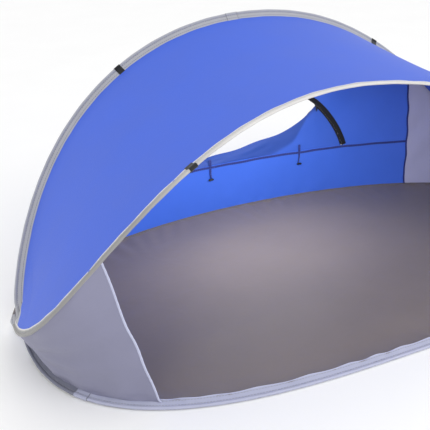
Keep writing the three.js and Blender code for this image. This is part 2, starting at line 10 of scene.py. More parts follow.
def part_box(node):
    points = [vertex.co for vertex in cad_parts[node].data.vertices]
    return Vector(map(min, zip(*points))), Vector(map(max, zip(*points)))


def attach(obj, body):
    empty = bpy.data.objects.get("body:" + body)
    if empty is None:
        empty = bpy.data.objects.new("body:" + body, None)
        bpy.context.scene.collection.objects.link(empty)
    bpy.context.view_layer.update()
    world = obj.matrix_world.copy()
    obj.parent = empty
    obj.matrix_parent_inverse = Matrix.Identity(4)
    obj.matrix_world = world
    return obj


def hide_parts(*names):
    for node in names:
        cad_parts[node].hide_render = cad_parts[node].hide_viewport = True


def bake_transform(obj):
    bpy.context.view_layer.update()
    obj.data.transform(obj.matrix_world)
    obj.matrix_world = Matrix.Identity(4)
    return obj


bl_info = {
    "name": "Pop-up beach shelter",
    "version": (1, 0, 0),
    "blender": (4, 5, 0),
    "location": "3D View > Sidebar > Shelter",
    "description": "Builds the cloth, sleeves and fittings of a pop-up beach shelter around its frame",
    "category": "Add Mesh",
}

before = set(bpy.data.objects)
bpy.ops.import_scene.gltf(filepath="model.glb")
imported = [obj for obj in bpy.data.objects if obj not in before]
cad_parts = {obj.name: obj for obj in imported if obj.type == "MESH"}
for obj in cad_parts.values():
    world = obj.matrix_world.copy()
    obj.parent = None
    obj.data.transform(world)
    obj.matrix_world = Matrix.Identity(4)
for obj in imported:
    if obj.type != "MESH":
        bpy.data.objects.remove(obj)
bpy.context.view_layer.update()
SIDES = (("left", -1), ("right", 1))

# ------------------------------------------------------------------ dimensions, in metres

LOOP_A = {"half": 1.100, "rise": 0.864, "lean": 0.521, "bow": 0.124, "depth": -0.722,
          "top_x": 2.11, "top_s": 1.38, "ground_x": 3.07, "ground_s": 3.07}
LOOP_B = {"half": 1.120, "rise": 0.752, "lean": -0.307, "bow": -0.401, "depth": 0.542,
          "top_x": 1.93, "top_s": 2.28, "ground_x": 2.07, "ground_s": 2.07}
CORNER_SOFTNESS = 0.155
WIRE_REST_HEIGHT = 0.0062
SLEEVE_TRIM = 0.010
CAD_STATIONS = 44
REFINE = 8
STATIONS = CAD_STATIONS * REFINE
STATION_CROWDING = 0.72
TUBE_RADIUS = 0.005
TUNNEL_RADIUS = 0.0036
TAPE_THICKNESS = 0.0022
TAPE_SHARE = 0.3
SEAM_HEIGHT = 0.220
SEAM_SIDE = 0.740
SEAM_ALLOWANCE = 0.012
WALL_END = 1.100
WINDOW_CENTRE = 0.095
WINDOW_RADIUS = 0.452
WINDOW_SILL = 0.228
WINDOW_CUT = 0.460
WALL_TAPE = (0.4524, 0.4735)
FLAP_TAPE = (0.4440, 0.4516)
SLIDER_ANGLE = math.radians(41)
FOLD_LOW = 0.170         # lowest height of the edge where the flap's loose cloth has fallen over
FOLD_LOW_AT = -0.20
FOLD_BOWL = 0.66
FOLD_RISE = 0.075        # how much higher it climbs into the window's right corner
FOLD_RISE_START = 0.18
FOLD_RISE_RUN = 0.10
FLAP_HINGE_RUN = 0.040   # height of the flap's cloth that bends where it is sewn to the sill
HEM_INSET = 0.0045       # how far inside a tape's edge the cloth sewn to it begins
SEAM_LIFT = 0.0017       # the seam binding stands this far off the wall, on the inside
SIDE_SEAM_LIFT = 0.0021
SEAM_WIDTH = 0.0098
SIDE_SEAM_WIDTH = 0.0085
BINDING_THICKNESS = 0.0014
WEBBING_THICKNESS = 0.0013
TIE_LOOP_WIDTH = 0.009
TIE_WIDTH = 0.0085
ZIP_LIFT = 0.0016
ZIP_THICKNESS = 0.0011
FLAP_EDGE_ZIP = 0.011
TOOTH_PITCH = 0.0050
TOOTH_RADIUS = 0.4520
TOOTH_LIFT = 0.0024
SLIDER_LIFT = 0.0056
PULL_LIFT = 0.0103
PULL_DROP = 0.0125
PULL_HOLE = 0.0110
FLAP_LEFT = -0.420
FLAP_RUN = 0.720
FLAP_FOLD_END = 0.296
FLOOR_HALF = 1.070
FLOOR_REST = 0.0007
CUFF_HALF = 0.052
CUFF_STATIONS = 41
RIDGE_TAB = 0.026
LIP_TAB = 0.028
JOINT = 0.050
HEM_WIDE = 0.0034
HEM_THICK = 0.0020
TIE_SIDE = 0.217
TIE_DROP = 0.050
GUSSET_LIP_X = 0.903
GUSSET_FRONT_X = 0.805
GUSSET_START = 0.7
RIDGE_TAB_X = 0.572
LIP_TAB_X = 0.615
RIDGE_JOINT_X = -0.094
FRONT_JOINT_X = -0.990
FOLD_RIDGE = 0.1        # share of the front hoop's fold that the ridge arch makes
FOLD_LIP = 0.575        # and the lip arch

CAMERA = {"azimuth": -26.594, "elevation": 25.337, "distance": 2.5, "target": (-0.135, -0.065, 0.239),
          "lens": 56.75, "shift": (-0.168, -0.008), "sensor": 36.0}


# ------------------------------------------------------------------ properties

def linear(hex_colour):
    """The linear colour of an sRGB hex value."""
    values = [int(hex_colour[i:i + 2], 16) / 255 for i in (0, 2, 4)]
    curve = [v / 12.92 if v <= 0.04045 else ((v + 0.055) / 1.055) ** 2.4 for v in values]
    return (*curve, 1.0)


def length_property(name, description, default, low, high):
    return bpy.props.FloatProperty(name=name, description=description, default=default, min=low, max=high,
                                   precision=4, unit="LENGTH", subtype="DISTANCE")


def colour_property(name, description, default):
    return bpy.props.FloatVectorProperty(name=name, description=description, default=linear(default),
                                         size=4, min=0.0, max=1.0, subtype="COLOR")


class ShelterSizes(bpy.types.PropertyGroup):
    """Widths and depths of the sewn parts."""
    ridge_tape: length_property("Ridge tape", "Width of the tape beside the ridge wire", 0.032, 0.01, 0.05)
    lip_tape: length_property("Lip tape", "Width of the tape beside the lip wire", 0.017, 0.008, 0.05)
    front_tape: length_property("Front tape", "Width of the tape beside the front wire", 0.027, 0.01, 0.05)
    rear_tape: length_property("Rear tape", "Width of the tape beside the rear wire", 0.011, 0.006, 0.05)
    cloth: length_property("Cloth thickness", "Thickness of a coated sheet", 0.0009, 0.0004, 0.003)
    roof_sag: length_property("Roof sag", "How far the roof hangs in between its arches", 0.020, 0.0, 0.03)
    crease: length_property("Crease height", "Height of the creases in the sheets", 0.0022, 0.0, 0.006)
    flap_lean: length_property("Flap lean", "How far the slumped flap leans outward", 0.026, 0.0, 0.06)


class ShelterColours(bpy.types.PropertyGroup):
    """Colours of the cloths, tapes and fittings."""
    roof: colour_property("Roof", "Bright blue coated polyester", "3B62D6")
    wall: colour_property("Wall", "Blue coated polyester of the rear wall", "3D6AD8")
    grey: colour_property("Corner cloth", "Lavender-grey polyester", "83839A")
    floor: colour_property("Floor", "Grey-brown floor cloth", "807674")
    tape: colour_property("Ridge tape", "Light grey woven tape", "ADAEB4")
    pale_tape: colour_property("Front tape", "Pale lavender-grey woven tape", "AFB2C9")
    lip_tape: colour_property("Lip tape", "White woven tape", "D2D0CE")
    navy: colour_property("Seam binding", "Navy binding", "1E2A78")
    black: colour_property("Fittings", "Black webbing, zip and plastic", "0A0A0D")


# ------------------------------------------------------------------ the two loops

def soft_ramp(share):
    """Rises from nearly 0 to 1 as share goes from -1 to 1, with a rounded bend at 0."""
    return (share + np.hypot(share, CORNER_SOFTNESS)) / (1 + math.hypot(1, CORNER_SOFTNESS))


def loop_point(loop, x, share):
    """The point of a loop at a share of its height: 1 at the arch's top, -1 at the hoop's far side."""
    up = soft_ramp(share)
    out = soft_ramp(-share)
    y = loop["lean"] * up + loop["bow"] * 4 * up * (1 - up) + loop["depth"] * out
    z = loop["rise"] * (up - soft_ramp(-1.0)) + WIRE_REST_HEIGHT
    return np.stack([x, y, z], axis=-1)


def loop_at_turn(loop, turn):
    """The point of a loop at a turn from its arch's top."""
    sine, cosine = np.sin(turn), np.cos(turn)
    x_power = 2 / np.where(cosine >= 0, loop["top_x"], loop["ground_x"])
    s_power = 2 / np.where(cosine >= 0, loop["top_s"], loop["ground_s"])
    x = loop["half"] * np.sign(sine) * np.abs(sine) ** x_power
    return loop_point(loop, x, np.sign(cosine) * np.abs(cosine) ** s_power)


def loop_at_x(loop, x, top):
    """Where the arch (top) or the hoop of a loop passes x."""
    x = np.asarray(x, float)
    sine = np.clip(np.abs(x) / loop["half"], 0, 1) ** (loop["top_x" if top else "ground_x"] / 2)
    share = np.sqrt(1 - sine * sine) ** (2 / loop["top_s" if top else "ground_s"])
    return loop_point(loop, x, share if top else -share)


def crossing_turns():
    """The turns at which the two loops cross, seen from the side."""
    best = (math.pi / 2, math.pi / 2)
    reach = 0.2
    while reach > 1e-7:
        steps = np.linspace(-reach, reach, 41)
        a = np.maximum(math.pi / 2, best[0] + steps)
        b = np.maximum(math.pi / 2, best[1] + steps)
        apart = loop_at_turn(LOOP_A, a)[:, None, 1:] - loop_at_turn(LOOP_B, b)[None, :, 1:]
        gap = np.hypot(apart[..., 0], apart[..., 1])
        i, j = np.unravel_index(gap.argmin(), gap.shape)
        best = (a[i], b[j])
        reach /= 4
    return best


TURN_A, TURN_B = crossing_turns()
FOLD_Y, FOLD_Z = map(float, loop_at_turn(LOOP_A, np.array(TURN_A))[1:])


def along_path(points):
    """The distance along a row of points."""
    steps = np.linalg.norm(np.diff(points, axis=0), axis=1)
    return np.concatenate([[0.0], np.cumsum(steps)])


def arch_points(loop, crossing, top, trim):
    """Stations along one arch, from its left corner to its right one, closer together at the corners."""
    sweep = 2 * crossing if top else 2 * crossing - 2 * math.pi
    path = loop_at_turn(loop, -crossing + sweep * np.linspace(0, 1, 6001))
    run = along_path(path)
    t = np.linspace(0, 1, STATIONS + 1)
    share = t - STATION_CROWDING * np.sin(2 * math.pi * t) / (2 * math.pi)
    wanted = trim + (run[-1] - 2 * trim) * share
    return np.stack([np.interp(wanted, run, path[:, k]) for k in range(3)], axis=-1)


def unit(vectors):
    return vectors / np.maximum(np.linalg.norm(vectors, axis=-1, keepdims=True), 1e-12)


class Rail:
    """An arch's stations with, at each, the way its tape points, the face it shows and the tape's width."""

    def __init__(self, points, targets, tape):
        padded = np.concatenate([points[:1], points, points[-1:]])
        self.points = points
        self.tangents = unit(padded[2:] - padded[:-2])
        web = targets - points
        reach = np.linalg.norm(web, axis=1)
        web = unit(web - (web * self.tangents).sum(1)[:, None] * self.tangents)
        self.webs = web
        self.faces = np.cross(self.tangents, web)
        self.tapes = np.minimum(tape, np.maximum(TUBE_RADIUS + 0.001, reach * TAPE_SHARE))
        self.run = along_path(points)

    def on(self, i, across, lift):
        return self.points[i] + self.webs[i] * across + self.faces[i] * lift

    def edge(self, inset):
        """The line on the tape at a distance inside its outer edge."""
        return self.points + self.webs * np.maximum(self.tapes - inset, TUBE_RADIUS - 0.0002)[:, None]

    def station(self, x):
        return int(np.abs(self.points[:, 0] - x).argmin())


def make_rails(sizes):
    """The four rails of the two loops."""
    ridge = arch_points(LOOP_A, TURN_A, True, SLEEVE_TRIM)
    front = arch_points(LOOP_A, TURN_A, False, SLEEVE_TRIM)
    lip = arch_points(LOOP_B, TURN_B, True, SLEEVE_TRIM)
    rear = arch_points(LOOP_B, TURN_B, False, SLEEVE_TRIM)

    def inward(points):
        return np.stack([points[:, 0] / 2, np.full(len(points), FOLD_Y), points[:, 2]], axis=-1)

    def reached(points, target, turn, toward):
        """Targets turned from the neighbouring arch part of the way toward another direction."""
        aim = target - points
        length = np.linalg.norm(aim, axis=1, keepdims=True)
        return points + unit(aim / length + turn * toward) * length

    # The ridge's tape hangs between roof and rear wall, and the front tape is drawn up by the gussets.
    across = np.stack([-ridge[:, 0] * 0.9, np.zeros(len(ridge)), -0.9 * ridge[:, 2]], axis=-1)
    up = np.array([0.0, 0.0, 1.0])
    front_rail = Rail(front, reached(front, inward(front), 0.42, up), sizes.front_tape)
    uneven = np.sin(front_rail.run / 0.019 + 1.5 * np.sin(front_rail.run / 0.11))
    front_rail.tapes = front_rail.tapes + 0.0013 * uneven * (front_rail.tapes > 0.015)
    return {
        "ridge": Rail(ridge, reached(ridge, lip, 0.85, unit(across)), sizes.ridge_tape),
        "lip": Rail(lip, ridge, sizes.lip_tape),
        "front_ground": front_rail,
        "rear_ground": Rail(rear, inward(rear), sizes.rear_tape),
    }


# ------------------------------------------------------------------ mesh helpers

def select_only(obj):
    bpy.ops.object.select_all(action="DESELECT")
    obj.select_set(True)
    bpy.context.view_layer.objects.active = obj


def mesh_object(name, points, faces, uvs, marks=None):
    """A mesh object at the origin, with a UV in metres and named values for each of its points."""
    mesh = bpy.data.meshes.new(name)
    mesh.from_pydata(np.asarray(points, float).tolist(), [], faces)
    corner = np.empty(len(mesh.loops), np.int32)
    mesh.loops.foreach_get("vertex_index", corner)
    layer = mesh.uv_layers.new(name="cloth")
    layer.data.foreach_set("uv", np.asarray(uvs, np.float32)[corner].ravel())
    for key, values in (marks or {}).items():
        mark = mesh.attributes.new(key, "FLOAT", "POINT")
        mark.data.foreach_set("value", np.asarray(values, np.float32).ravel())
    obj = bpy.data.objects.new(name, mesh)
    bpy.context.collection.objects.link(obj)
    return obj


def apply_modifier(obj, kind, **settings):
    modifier = obj.modifiers.new(kind.title(), kind)
    for key, value in settings.items():
        setattr(modifier, key, value)
    select_only(obj)
    bpy.ops.object.modifier_apply(modifier=modifier.name)


def round_edges(obj, width, segments, angle):
    apply_modifier(obj, "BEVEL", width=width, segments=segments, limit_method="ANGLE",
                   angle_limit=math.radians(angle))


def new_primitive(name, add, **shape):
    """A primitive alone in the selection, with its name on the object and its mesh."""
    bpy.ops.object.select_all(action="DESELECT")
    add(**shape)
    obj = bpy.context.object
    obj.name = name
    obj.data.name = name
    return obj


def clean(obj, merge=1e-5):
    """Merges points that coincide and turns all faces the same way out."""
    select_only(obj)
    bpy.ops.object.mode_set(mode="EDIT")
    bpy.ops.mesh.select_all(action="SELECT")
    bpy.ops.mesh.remove_doubles(threshold=merge)
    bpy.ops.mesh.normals_make_consistent(inside=False)
    bpy.ops.object.mode_set(mode="OBJECT")


def finish_piece(obj, material, angle=40):
    obj.data.materials.clear()
    obj.data.materials.append(material)
    select_only(obj)
    bpy.ops.object.shade_smooth_by_angle(angle=math.radians(angle))
    return obj


def grid_faces(rows, columns, first=0):
    faces = []
    for r in range(rows - 1):
        for c in range(columns - 1):
            a = first + r * columns + c
            faces.append((a, a + 1, a + columns + 1, a + columns))
    return faces


def sheet_piece(name, grids, thickness, material, merge=1e-5):
    """A sheet of even thickness from one or more grids. A grid is (points, uvs, {mark: values})."""
    points, uvs, faces, marks = [], [], [], {}
    first = 0
    for p, uv, mark in grids:
        rows, columns = p.shape[:2]
        points.append(p.reshape(-1, 3))
        uvs.append(uv.reshape(-1, 2))
        faces += grid_faces(rows, columns, first)
        for key, values in mark.items():
            marks.setdefault(key, []).append(np.asarray(values).reshape(-1))
        first += rows * columns
    marks = {key: np.concatenate(values) for key, values in marks.items()}
    obj = mesh_object(name, np.concatenate(points), faces, np.concatenate(uvs), marks)
    clean(obj, merge)
    apply_modifier(obj, "SOLIDIFY", thickness=thickness, offset=0.0, use_rim=True)
    return finish_piece(obj, material)


def sweep_piece(name, rings, uvs, marks, material, inner=None):
    """A closed body from a row of equal rings. With inner rings it is a pipe, open at both ends."""
    count, sides = rings.shape[:2]
    points = [rings.reshape(-1, 3)]
    coordinates = [uvs.reshape(-1, 2)]
    marks = {key: [values.reshape(-1)] for key, values in marks.items()}
    faces = []

    def wall(first, inside):
        for r in range(count - 1):
            for s in range(sides):
                t = (s + 1) % sides
                quad = (first + r * sides + s, first + r * sides + t,
                        first + (r + 1) * sides + t, first + (r + 1) * sides + s)
                faces.append(quad[::-1] if inside else quad)

    wall(0, False)
    last = (count - 1) * sides
    if inner is None:
        faces.append(tuple(range(sides))[::-1])
        faces.append(tuple(range(last, last + sides)))
    else:
        shift = count * sides
        points.append(inner.reshape(-1, 3))
        coordinates.append(uvs.reshape(-1, 2))
        for values in marks.values():
            values.append(values[0])
        wall(shift, True)
        for s in range(sides):
            t = (s + 1) % sides
            faces.append((s, shift + s, shift + t, t))
            faces.append((last + s, last + t, shift + last + t, shift + last + s))
    marks = {key: np.concatenate(values) for key, values in marks.items()}
    obj = mesh_object(name, np.concatenate(points), faces, np.concatenate(coordinates), marks)
    clean(obj, 1e-7)
    return finish_piece(obj, material, 50)


def point_places(obj):
    places = np.empty(len(obj.data.vertices) * 3)
    obj.data.vertices.foreach_get("co", places)
    return places.reshape(-1, 3)


def stand_for(node):
    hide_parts(node)


def fit_piece(obj, body, node):
    """The piece moves with a body and stands for a node."""
    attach(obj, body)
    stand_for(node)


def fold_with(obj, shares):
    """Puts the sheet's place into its mesh; the shares are not used."""
    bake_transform(obj)


def drop_with(obj, shares):
    """Puts a sheet of the flap's place into its mesh; the shares are not used."""
    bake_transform(obj)


def mark_values(obj, key):
    mark = obj.data.attributes[key]
    values = np.empty(len(mark.data), np.float32)
    mark.data.foreach_get("value", values)
    return values


def ripple(a, b, seed):
    """A smooth random relief of about -1 to 1 over two coordinates, the same on every run."""
    draw = np.random.default_rng(seed)
    total = np.zeros(np.broadcast(a, b).shape)
    weight = 0.0
    for octave in range(3):
        for _ in range(5):
            turn = draw.uniform(0, math.pi)
            pace = (octave + 1) * draw.uniform(0.7, 1.3)
            total = total + np.sin(2 * math.pi * pace * (a * math.cos(turn) + b * math.sin(turn))
                                   + draw.uniform(0, 6.28)) / (octave + 1)
        weight += 2.2 / (octave + 1)
    return total / weight


# ------------------------------------------------------------------ materials

COLOURS = {"data_type": "RGBA"}         # a Mix node of colours: its inputs 0, 6, 7 and its output 2
TIMES = {"operation": "MULTIPLY"}
WAVE_LENGTH = 0.314                     # metres between the bands of a wave texture at scale 1
CLOTH_THREADS = 0.0026
TAPE_RIBS = 0.0022
WEBBING_TWILL = 0.003
STITCH_PITCH = 0.009
STITCH_SHARE = 0.72
STITCH_HALF = 0.0008
# Width of the painted highlight along a tape's folded edge.
EDGE_FOLD = 0.0026


def add_node(tree, kind, settings=(), inputs=(), out=0):
    """Adds one node and gives one of its outputs. Settings are the node's own fields, and inputs are its
    sockets' values or the outputs that feed them."""
    made = tree.nodes.new("ShaderNode" + kind)
    for key, value in dict(settings).items():
        setattr(made, key, value)
    for key, value in dict(inputs).items():
        if isinstance(value, bpy.types.NodeSocket):
            tree.links.new(value, made.inputs[key])
        else:
            made.inputs[key].default_value = value
    return made.outputs[out]


def new_material(name, values):
    """A material, its tree and its shader, whose even values sit on the shader's own sockets."""
    material = bpy.data.materials.new(name)
    material.use_nodes = True
    tree = material.node_tree
    shader = tree.nodes["Principled BSDF"]
    for key, value in values.items():
        shader.inputs[key].default_value = value
    return material, tree, shader


def lay_colours(tree, tone, layers):
    """Lays colours over a tone, each where its share is high."""
    for share, colour in layers:
        tone = add_node(tree, "Mix", COLOURS, {0: share, 6: tone, 7: colour}, 2)
    return tone


def feed_shader(tree, shader, tone, wear, roughness, bump):
    """Links a shader's colour, its roughness, which goes between two values with the wear, and its bump."""
    rough = add_node(tree, "MapRange", (), {"Value": wear, "To Min": roughness[0], "To Max": roughness[1]})
    normal = add_node(tree, "Bump", (), bump)
    for socket, source in (("Base Color", tone), ("Roughness", rough), ("Normal", normal)):
        tree.links.new(source, shader.inputs[socket])


def shade(colour, factor):
    return (*[min(1.0, c * factor) for c in colour[:3]], 1.0)


def woven_cloth(name, colour, spacing=CLOTH_THREADS, roughness=(0.48, 0.66), sheen=0.25, cloudy=0.10,
                crease=0.0012, mark=None, marked=None):
    """Plain-woven polyester with a thin coating. The eye gets a fine even weave, soft clouds of colour where
    the cloth is handled, faint fold lines and a low broad gloss. The real threads lie 0.15 to 0.2 mm apart;
    they are drawn at the given spacing so that they show."""
    material, tree, shader = new_material(name, {
        "Sheen Weight": sheen, "Sheen Roughness": 0.45, "IOR": 1.5, "Specular IOR Level": 0.35})
    place = add_node(tree, "TexCoord", out="Object")
    clouds = add_node(tree, "TexNoise", (),
                      {"Scale": 3.2, "Detail": 5.0, "Roughness": 0.6, "Vector": place}, "Fac")
    specks = add_node(tree, "TexNoise", (), {"Scale": 240.0, "Detail": 2.0, "Vector": place}, "Fac")
    folds = add_node(tree, "TexNoise", (),
                     {"Scale": 9.0, "Detail": 3.0, "Distortion": 1.3, "Vector": place}, "Fac")
    cloth = add_node(tree, "UVMap", {"uv_map": "cloth"})
    warp, weft = [add_node(tree, "TexWave", {"bands_direction": way},
                           {"Scale": WAVE_LENGTH / spacing, "Distortion": 0.0, "Vector": cloth}, "Fac")
                  for way in ("X", "Y")]
    weave = add_node(tree, "Math", TIMES, {0: warp, 1: weft})
    layers = [(clouds, shade(colour, 1 + cloudy)),
              (add_node(tree, "Math", TIMES, {0: specks, 1: 0.16}), shade(colour, 0.72)),
              (add_node(tree, "Math", TIMES, {0: weave, 1: 0.10}), shade(colour, 1.35))]
    # For the flap the marked colour is painted shade where the cloth lies double and lets less light through;
    # for the roof it is the grey tape's own colour where the tape covers the cloth.
    if mark:
        layers.append((add_node(tree, "Attribute", {"attribute_name": mark}, out="Fac"),
                       marked or shade(colour, 0.60)))
    tone = lay_colours(tree, shade(colour, 1 - cloudy), layers)
    broad = add_node(tree, "Bump", (), {"Height": folds, "Strength": 0.35, "Distance": crease})
    feed_shader(tree, shader, tone, clouds, roughness,
                {"Height": weave, "Normal": broad, "Strength": 0.30, "Distance": 0.0004})
    return material


def stitched_tape(name, colour, stitch, stitch_lines, edge_light=1.12):
    """Ribbed polyester tape folded round the wire and sewn. The eye gets close ribs across the tape, two rows
    of thread dashes, a painted highlight along the folded edge and a little dirt in the hollows. Real ribs
    are
    0.5 mm apart and stitches 3 mm long; both are drawn about four times as coarse so that they show."""
    material, tree, shader = new_material(name, {
        "Sheen Weight": 0.2, "Sheen Roughness": 0.5, "IOR": 1.5, "Specular IOR Level": 0.3})
    cloth = add_node(tree, "UVMap", {"uv_map": "cloth"})
    along = add_node(tree, "SeparateXYZ", (), {"Vector": cloth})
    across = along.node.outputs[1]
    place = add_node(tree, "TexCoord", out="Object")
    grime = add_node(tree, "TexNoise", (),
                     {"Scale": 14.0, "Detail": 6.0, "Roughness": 0.65, "Vector": place}, "Fac")
    ribs = add_node(tree, "TexWave", {"bands_direction": "X"},
                    {"Scale": WAVE_LENGTH / TAPE_RIBS, "Distortion": 0.6, "Detail": 1.0, "Vector": cloth},
                    "Fac")
    pitches = add_node(tree, "Math", TIMES, {0: along, 1: 1 / STITCH_PITCH})
    phase = add_node(tree, "Math", {"operation": "FRACT"}, {0: pitches})
    dash = add_node(tree, "Math", {"operation": "LESS_THAN"}, {0: phase, 1: STITCH_SHARE})
    thread = None
    for centre in stitch_lines:
        line = add_node(tree, "Math", {"operation": "COMPARE"}, {0: across, 1: centre, 2: STITCH_HALF})
        row = add_node(tree, "Math", TIMES, {0: line, 1: dash})
        if thread is not None:
            row = add_node(tree, "Math", {"operation": "MAXIMUM"}, {0: thread, 1: row})
        thread = row
    # The second attribute paints shade: it darkens the lip's tape on its underside towards the left end, and
    # the front tape left of its joint.
    edge, painted_shade = [add_node(tree, "Attribute", {"attribute_name": key}, out="Fac")
                  for key in ("edge", "painted_shade")]
    # Painted highlight: with edge_light above 1 the tape is painted lighter along its folded edge; below 1
    # that edge is darkened instead.
    folded = add_node(tree, "Math", {"operation": "LESS_THAN"}, {0: edge, 1: EDGE_FOLD})
    tone = lay_colours(tree, shade(colour, 0.86), (
        (grime, shade(colour, 1.08)),
        (add_node(tree, "Math", TIMES, {0: ribs, 1: 0.22}), shade(colour, 0.80)),
        (folded, shade(colour, edge_light)),
        (painted_shade, shade(colour, 0.42)),
        (add_node(tree, "Math", TIMES, {0: thread, 1: 0.8}), stitch)))
    low_ribs = add_node(tree, "Math", TIMES, {0: ribs, 1: 0.5})
    relief = add_node(tree, "Math", {"operation": "ADD"}, {0: low_ribs, 1: thread})
    feed_shader(tree, shader, tone, grime, (0.58, 0.80),
                {"Height": relief, "Strength": 0.5, "Distance": 0.0006})
    return material


def black_webbing(name, colour):
    """Woven nylon webbing: dull black with a twill of small ridges and paler rubbed ridges."""
    material, tree, shader = new_material(name, {"Sheen Weight": 0.3, "IOR": 1.5,
                                                 "Specular IOR Level": 0.3})
    place = add_node(tree, "TexCoord", out="Object")
    twill = add_node(tree, "TexWave", {"bands_direction": "DIAGONAL"},
                     {"Scale": WAVE_LENGTH / WEBBING_TWILL, "Distortion": 0.4, "Vector": place}, "Fac")
    worn = add_node(tree, "TexNoise", (), {"Scale": 60.0, "Detail": 4.0, "Vector": place}, "Fac")
    rubbed = add_node(tree, "Math", TIMES, {0: twill, 1: worn})
    tone = lay_colours(tree, colour, [(rubbed, shade(colour, 3.5))])
    feed_shader(tree, shader, tone, worn, (0.5, 0.8),
                {"Height": twill, "Strength": 0.5, "Distance": 0.0005})
    return material


def grained(name, values, dark, light, wear, grain, strength):
    """A hard surface with a fine grain, and worn or stained spots between two colours."""
    material, tree, shader = new_material(name, values)
    place = add_node(tree, "TexCoord", out="Object")
    spots, fine = [add_node(tree, "TexNoise", (), {"Scale": scale, "Detail": detail, "Vector": place},
                            "Fac")
                   for scale, detail in (wear, grain)]
    tone = lay_colours(tree, dark, [(spots, light)])
    feed_shader(tree, shader, tone, spots, (0.28, 0.5),
                {"Height": fine, "Strength": strength, "Distance": 0.0002})
    return material


def moulded_plastic(name, colour):
    """Injection-moulded acetal: black, satin, with a fine grain and slightly paler rubbed spots."""
    return grained(name, {"IOR": 1.48, "Specular IOR Level": 0.5}, colour, shade(colour, 2.2),
                   (90.0, 3.0), (900.0, 2.0), 0.25)


def drawn_spring_steel(name):
    """Hard-drawn, oil-tempered spring wire: dull grey metal with fine draw marks and darker oil stains."""
    return grained(name, {"Metallic": 1.0}, linear("6E6F72"), linear("A7A8AB"),
                   (40.0, 5.0), (700.0, 2.0), 0.2)


FINISHES = {}


def make_finishes(colours):
    """Every finish of the shelter, each named for its real material and how it was made."""
    c = colours
    navy_thread = linear("3A3C66")
    grey_thread = linear("8C8D98")
    FINISHES.update({
        "roof": woven_cloth("Blue coated polyester taffeta", tuple(c.roof), sheen=0.04,
                             roughness=(0.52, 0.70), mark="bound", marked=tuple(c.tape)),
        "wall": woven_cloth("Deep blue coated polyester taffeta", tuple(c.wall), sheen=0.08, cloudy=0.14),
        # Painted shade: the flap is the wall's cloth painted at 0.84 of its colour, as the same cloth in
        # shade.
        "flap": woven_cloth("Blue taffeta of the window flap", shade(c.wall, 0.84), sheen=0.08,
                            mark="double_layer_shade"),
        "grey": woven_cloth("Lavender-grey polyester taffeta", tuple(c.grey), sheen=0.08, crease=0.003,
                            cloudy=0.12),
        # Painted light: the ends are the gussets' grey painted 1.9 times as bright, for daylight shining
        # through the thin cloth.
        "end": woven_cloth("Thin lavender-grey taffeta, lit through from behind", shade(c.grey, 1.9),
                           sheen=0.08,
                           crease=0.003, cloudy=0.12),
        "floor": woven_cloth("Grey-brown coated oxford floor cloth", tuple(c.floor), spacing=0.004,
                             roughness=(0.40, 0.58), sheen=0.15, crease=0.004, cloudy=0.13),
        "tape": stitched_tape("Light grey ribbed binding tape", tuple(c.tape), navy_thread,
                              (0.0072, 0.0205)),
        "pale": stitched_tape("Pale ribbed binding tape", tuple(c.pale_tape), grey_thread,
                              (0.0072, 0.0205)),
        "joint": stitched_tape("Overlapped end of light grey binding tape", tuple(c.tape), navy_thread,
                               (0.0072, 0.0205), edge_light=0.55),
        "pale_joint": stitched_tape("Overlapped end of pale binding tape", tuple(c.pale_tape), grey_thread,
                                    (0.0072, 0.0205), edge_light=0.45),
        "rear": stitched_tape("Grey ribbed binding tape", shade(c.floor, 0.7), grey_thread, (0.0072,)),
        "lip": stitched_tape("White ribbed binding tape", tuple(c.lip_tape), grey_thread, (0.0070, 0.0125)),
        "navy": stitched_tape("Navy grosgrain seam binding", tuple(c.navy), linear("5060A8"),
                              (-0.0026, 0.0026),
                              edge_light=0.8),
        # Painted highlight: the zip tape is painted 1.6 times lighter along its edges.
        "zip": stitched_tape("Black woven zip tape", tuple(c.black), linear("2A2A30"), (0.0030, 0.0085),
                             edge_light=1.6),
        "webbing": black_webbing("Black nylon webbing", tuple(c.black)),
        "plastic": moulded_plastic("Black moulded acetal", tuple(c.black)),
        "steel": drawn_spring_steel("Drawn spring steel wire"),
    })


# ------------------------------------------------------------------ sleeves

def sleeve_outline(tape, tube, grow=0.0):
    """One section of a sleeve, from the tape's edge over the tube and back: across, lift, tape share."""
    half = TAPE_THICKNESS / 2 + grow
    radius = tube + grow
    reach = tape + grow
    start = math.asin(half / radius)
    join = radius * math.cos(start)
    flat = np.linspace(reach, join, 8)
    turn = np.linspace(start, 2 * math.pi - start, 20)[1:-1]
    across = np.concatenate([flat, radius * np.cos(turn), flat[::-1], [reach + 0.0006]])
    lift = np.concatenate([np.full(8, half), radius * np.sin(turn), np.full(8, -half), [0.0]])
    share = np.clip((across - join) / max(1e-6, reach - join), 0, 1)
    return across, lift, share


def sleeve_rings(rail, seed, pucker):
    """Rings of a sleeve's skin and of its tunnel, with their UVs and distance from the tape's edge."""
    outer, inner, uvs, edges = [], [], [], []
    run = rail.run
    gathers = pucker * (0.6 * np.sin(run / 0.021 + 2.1 * np.sin(run / 0.13 + seed))
                        + 0.4 * np.sin(run / 0.0127 + seed) * np.sin(run / 0.31 + seed * 1.7))
    swell = 0.00028 * np.sin(run / 0.016 + 1.3 * np.sin(run / 0.09 + seed))
    for i in range(STATIONS + 1):
        across, lift, share = sleeve_outline(rail.tapes[i], TUBE_RADIUS + swell[i])
        fine = 0.45 * pucker * math.sin(run[i] / 0.0065 + 2 * math.sin(run[i] / 0.05 + seed))
        wave = gathers[i] * share ** 1.3 + fine * np.sin(share * math.pi)
        ring = rail.on(i, across[:, None], (lift + wave)[:, None])
        angle = np.arctan2(lift, across)
        hollow = rail.on(i, (TUNNEL_RADIUS * np.cos(angle))[:, None],
                         (TUNNEL_RADIUS * np.sin(angle))[:, None])
        outer.append(ring)
        inner.append(hollow)
        uvs.append(np.stack([np.full(len(across), run[i]), across], axis=-1))
        edges.append(rail.tapes[i] - across)
    return np.array(outer), np.array(inner), np.array(uvs), np.array(edges)


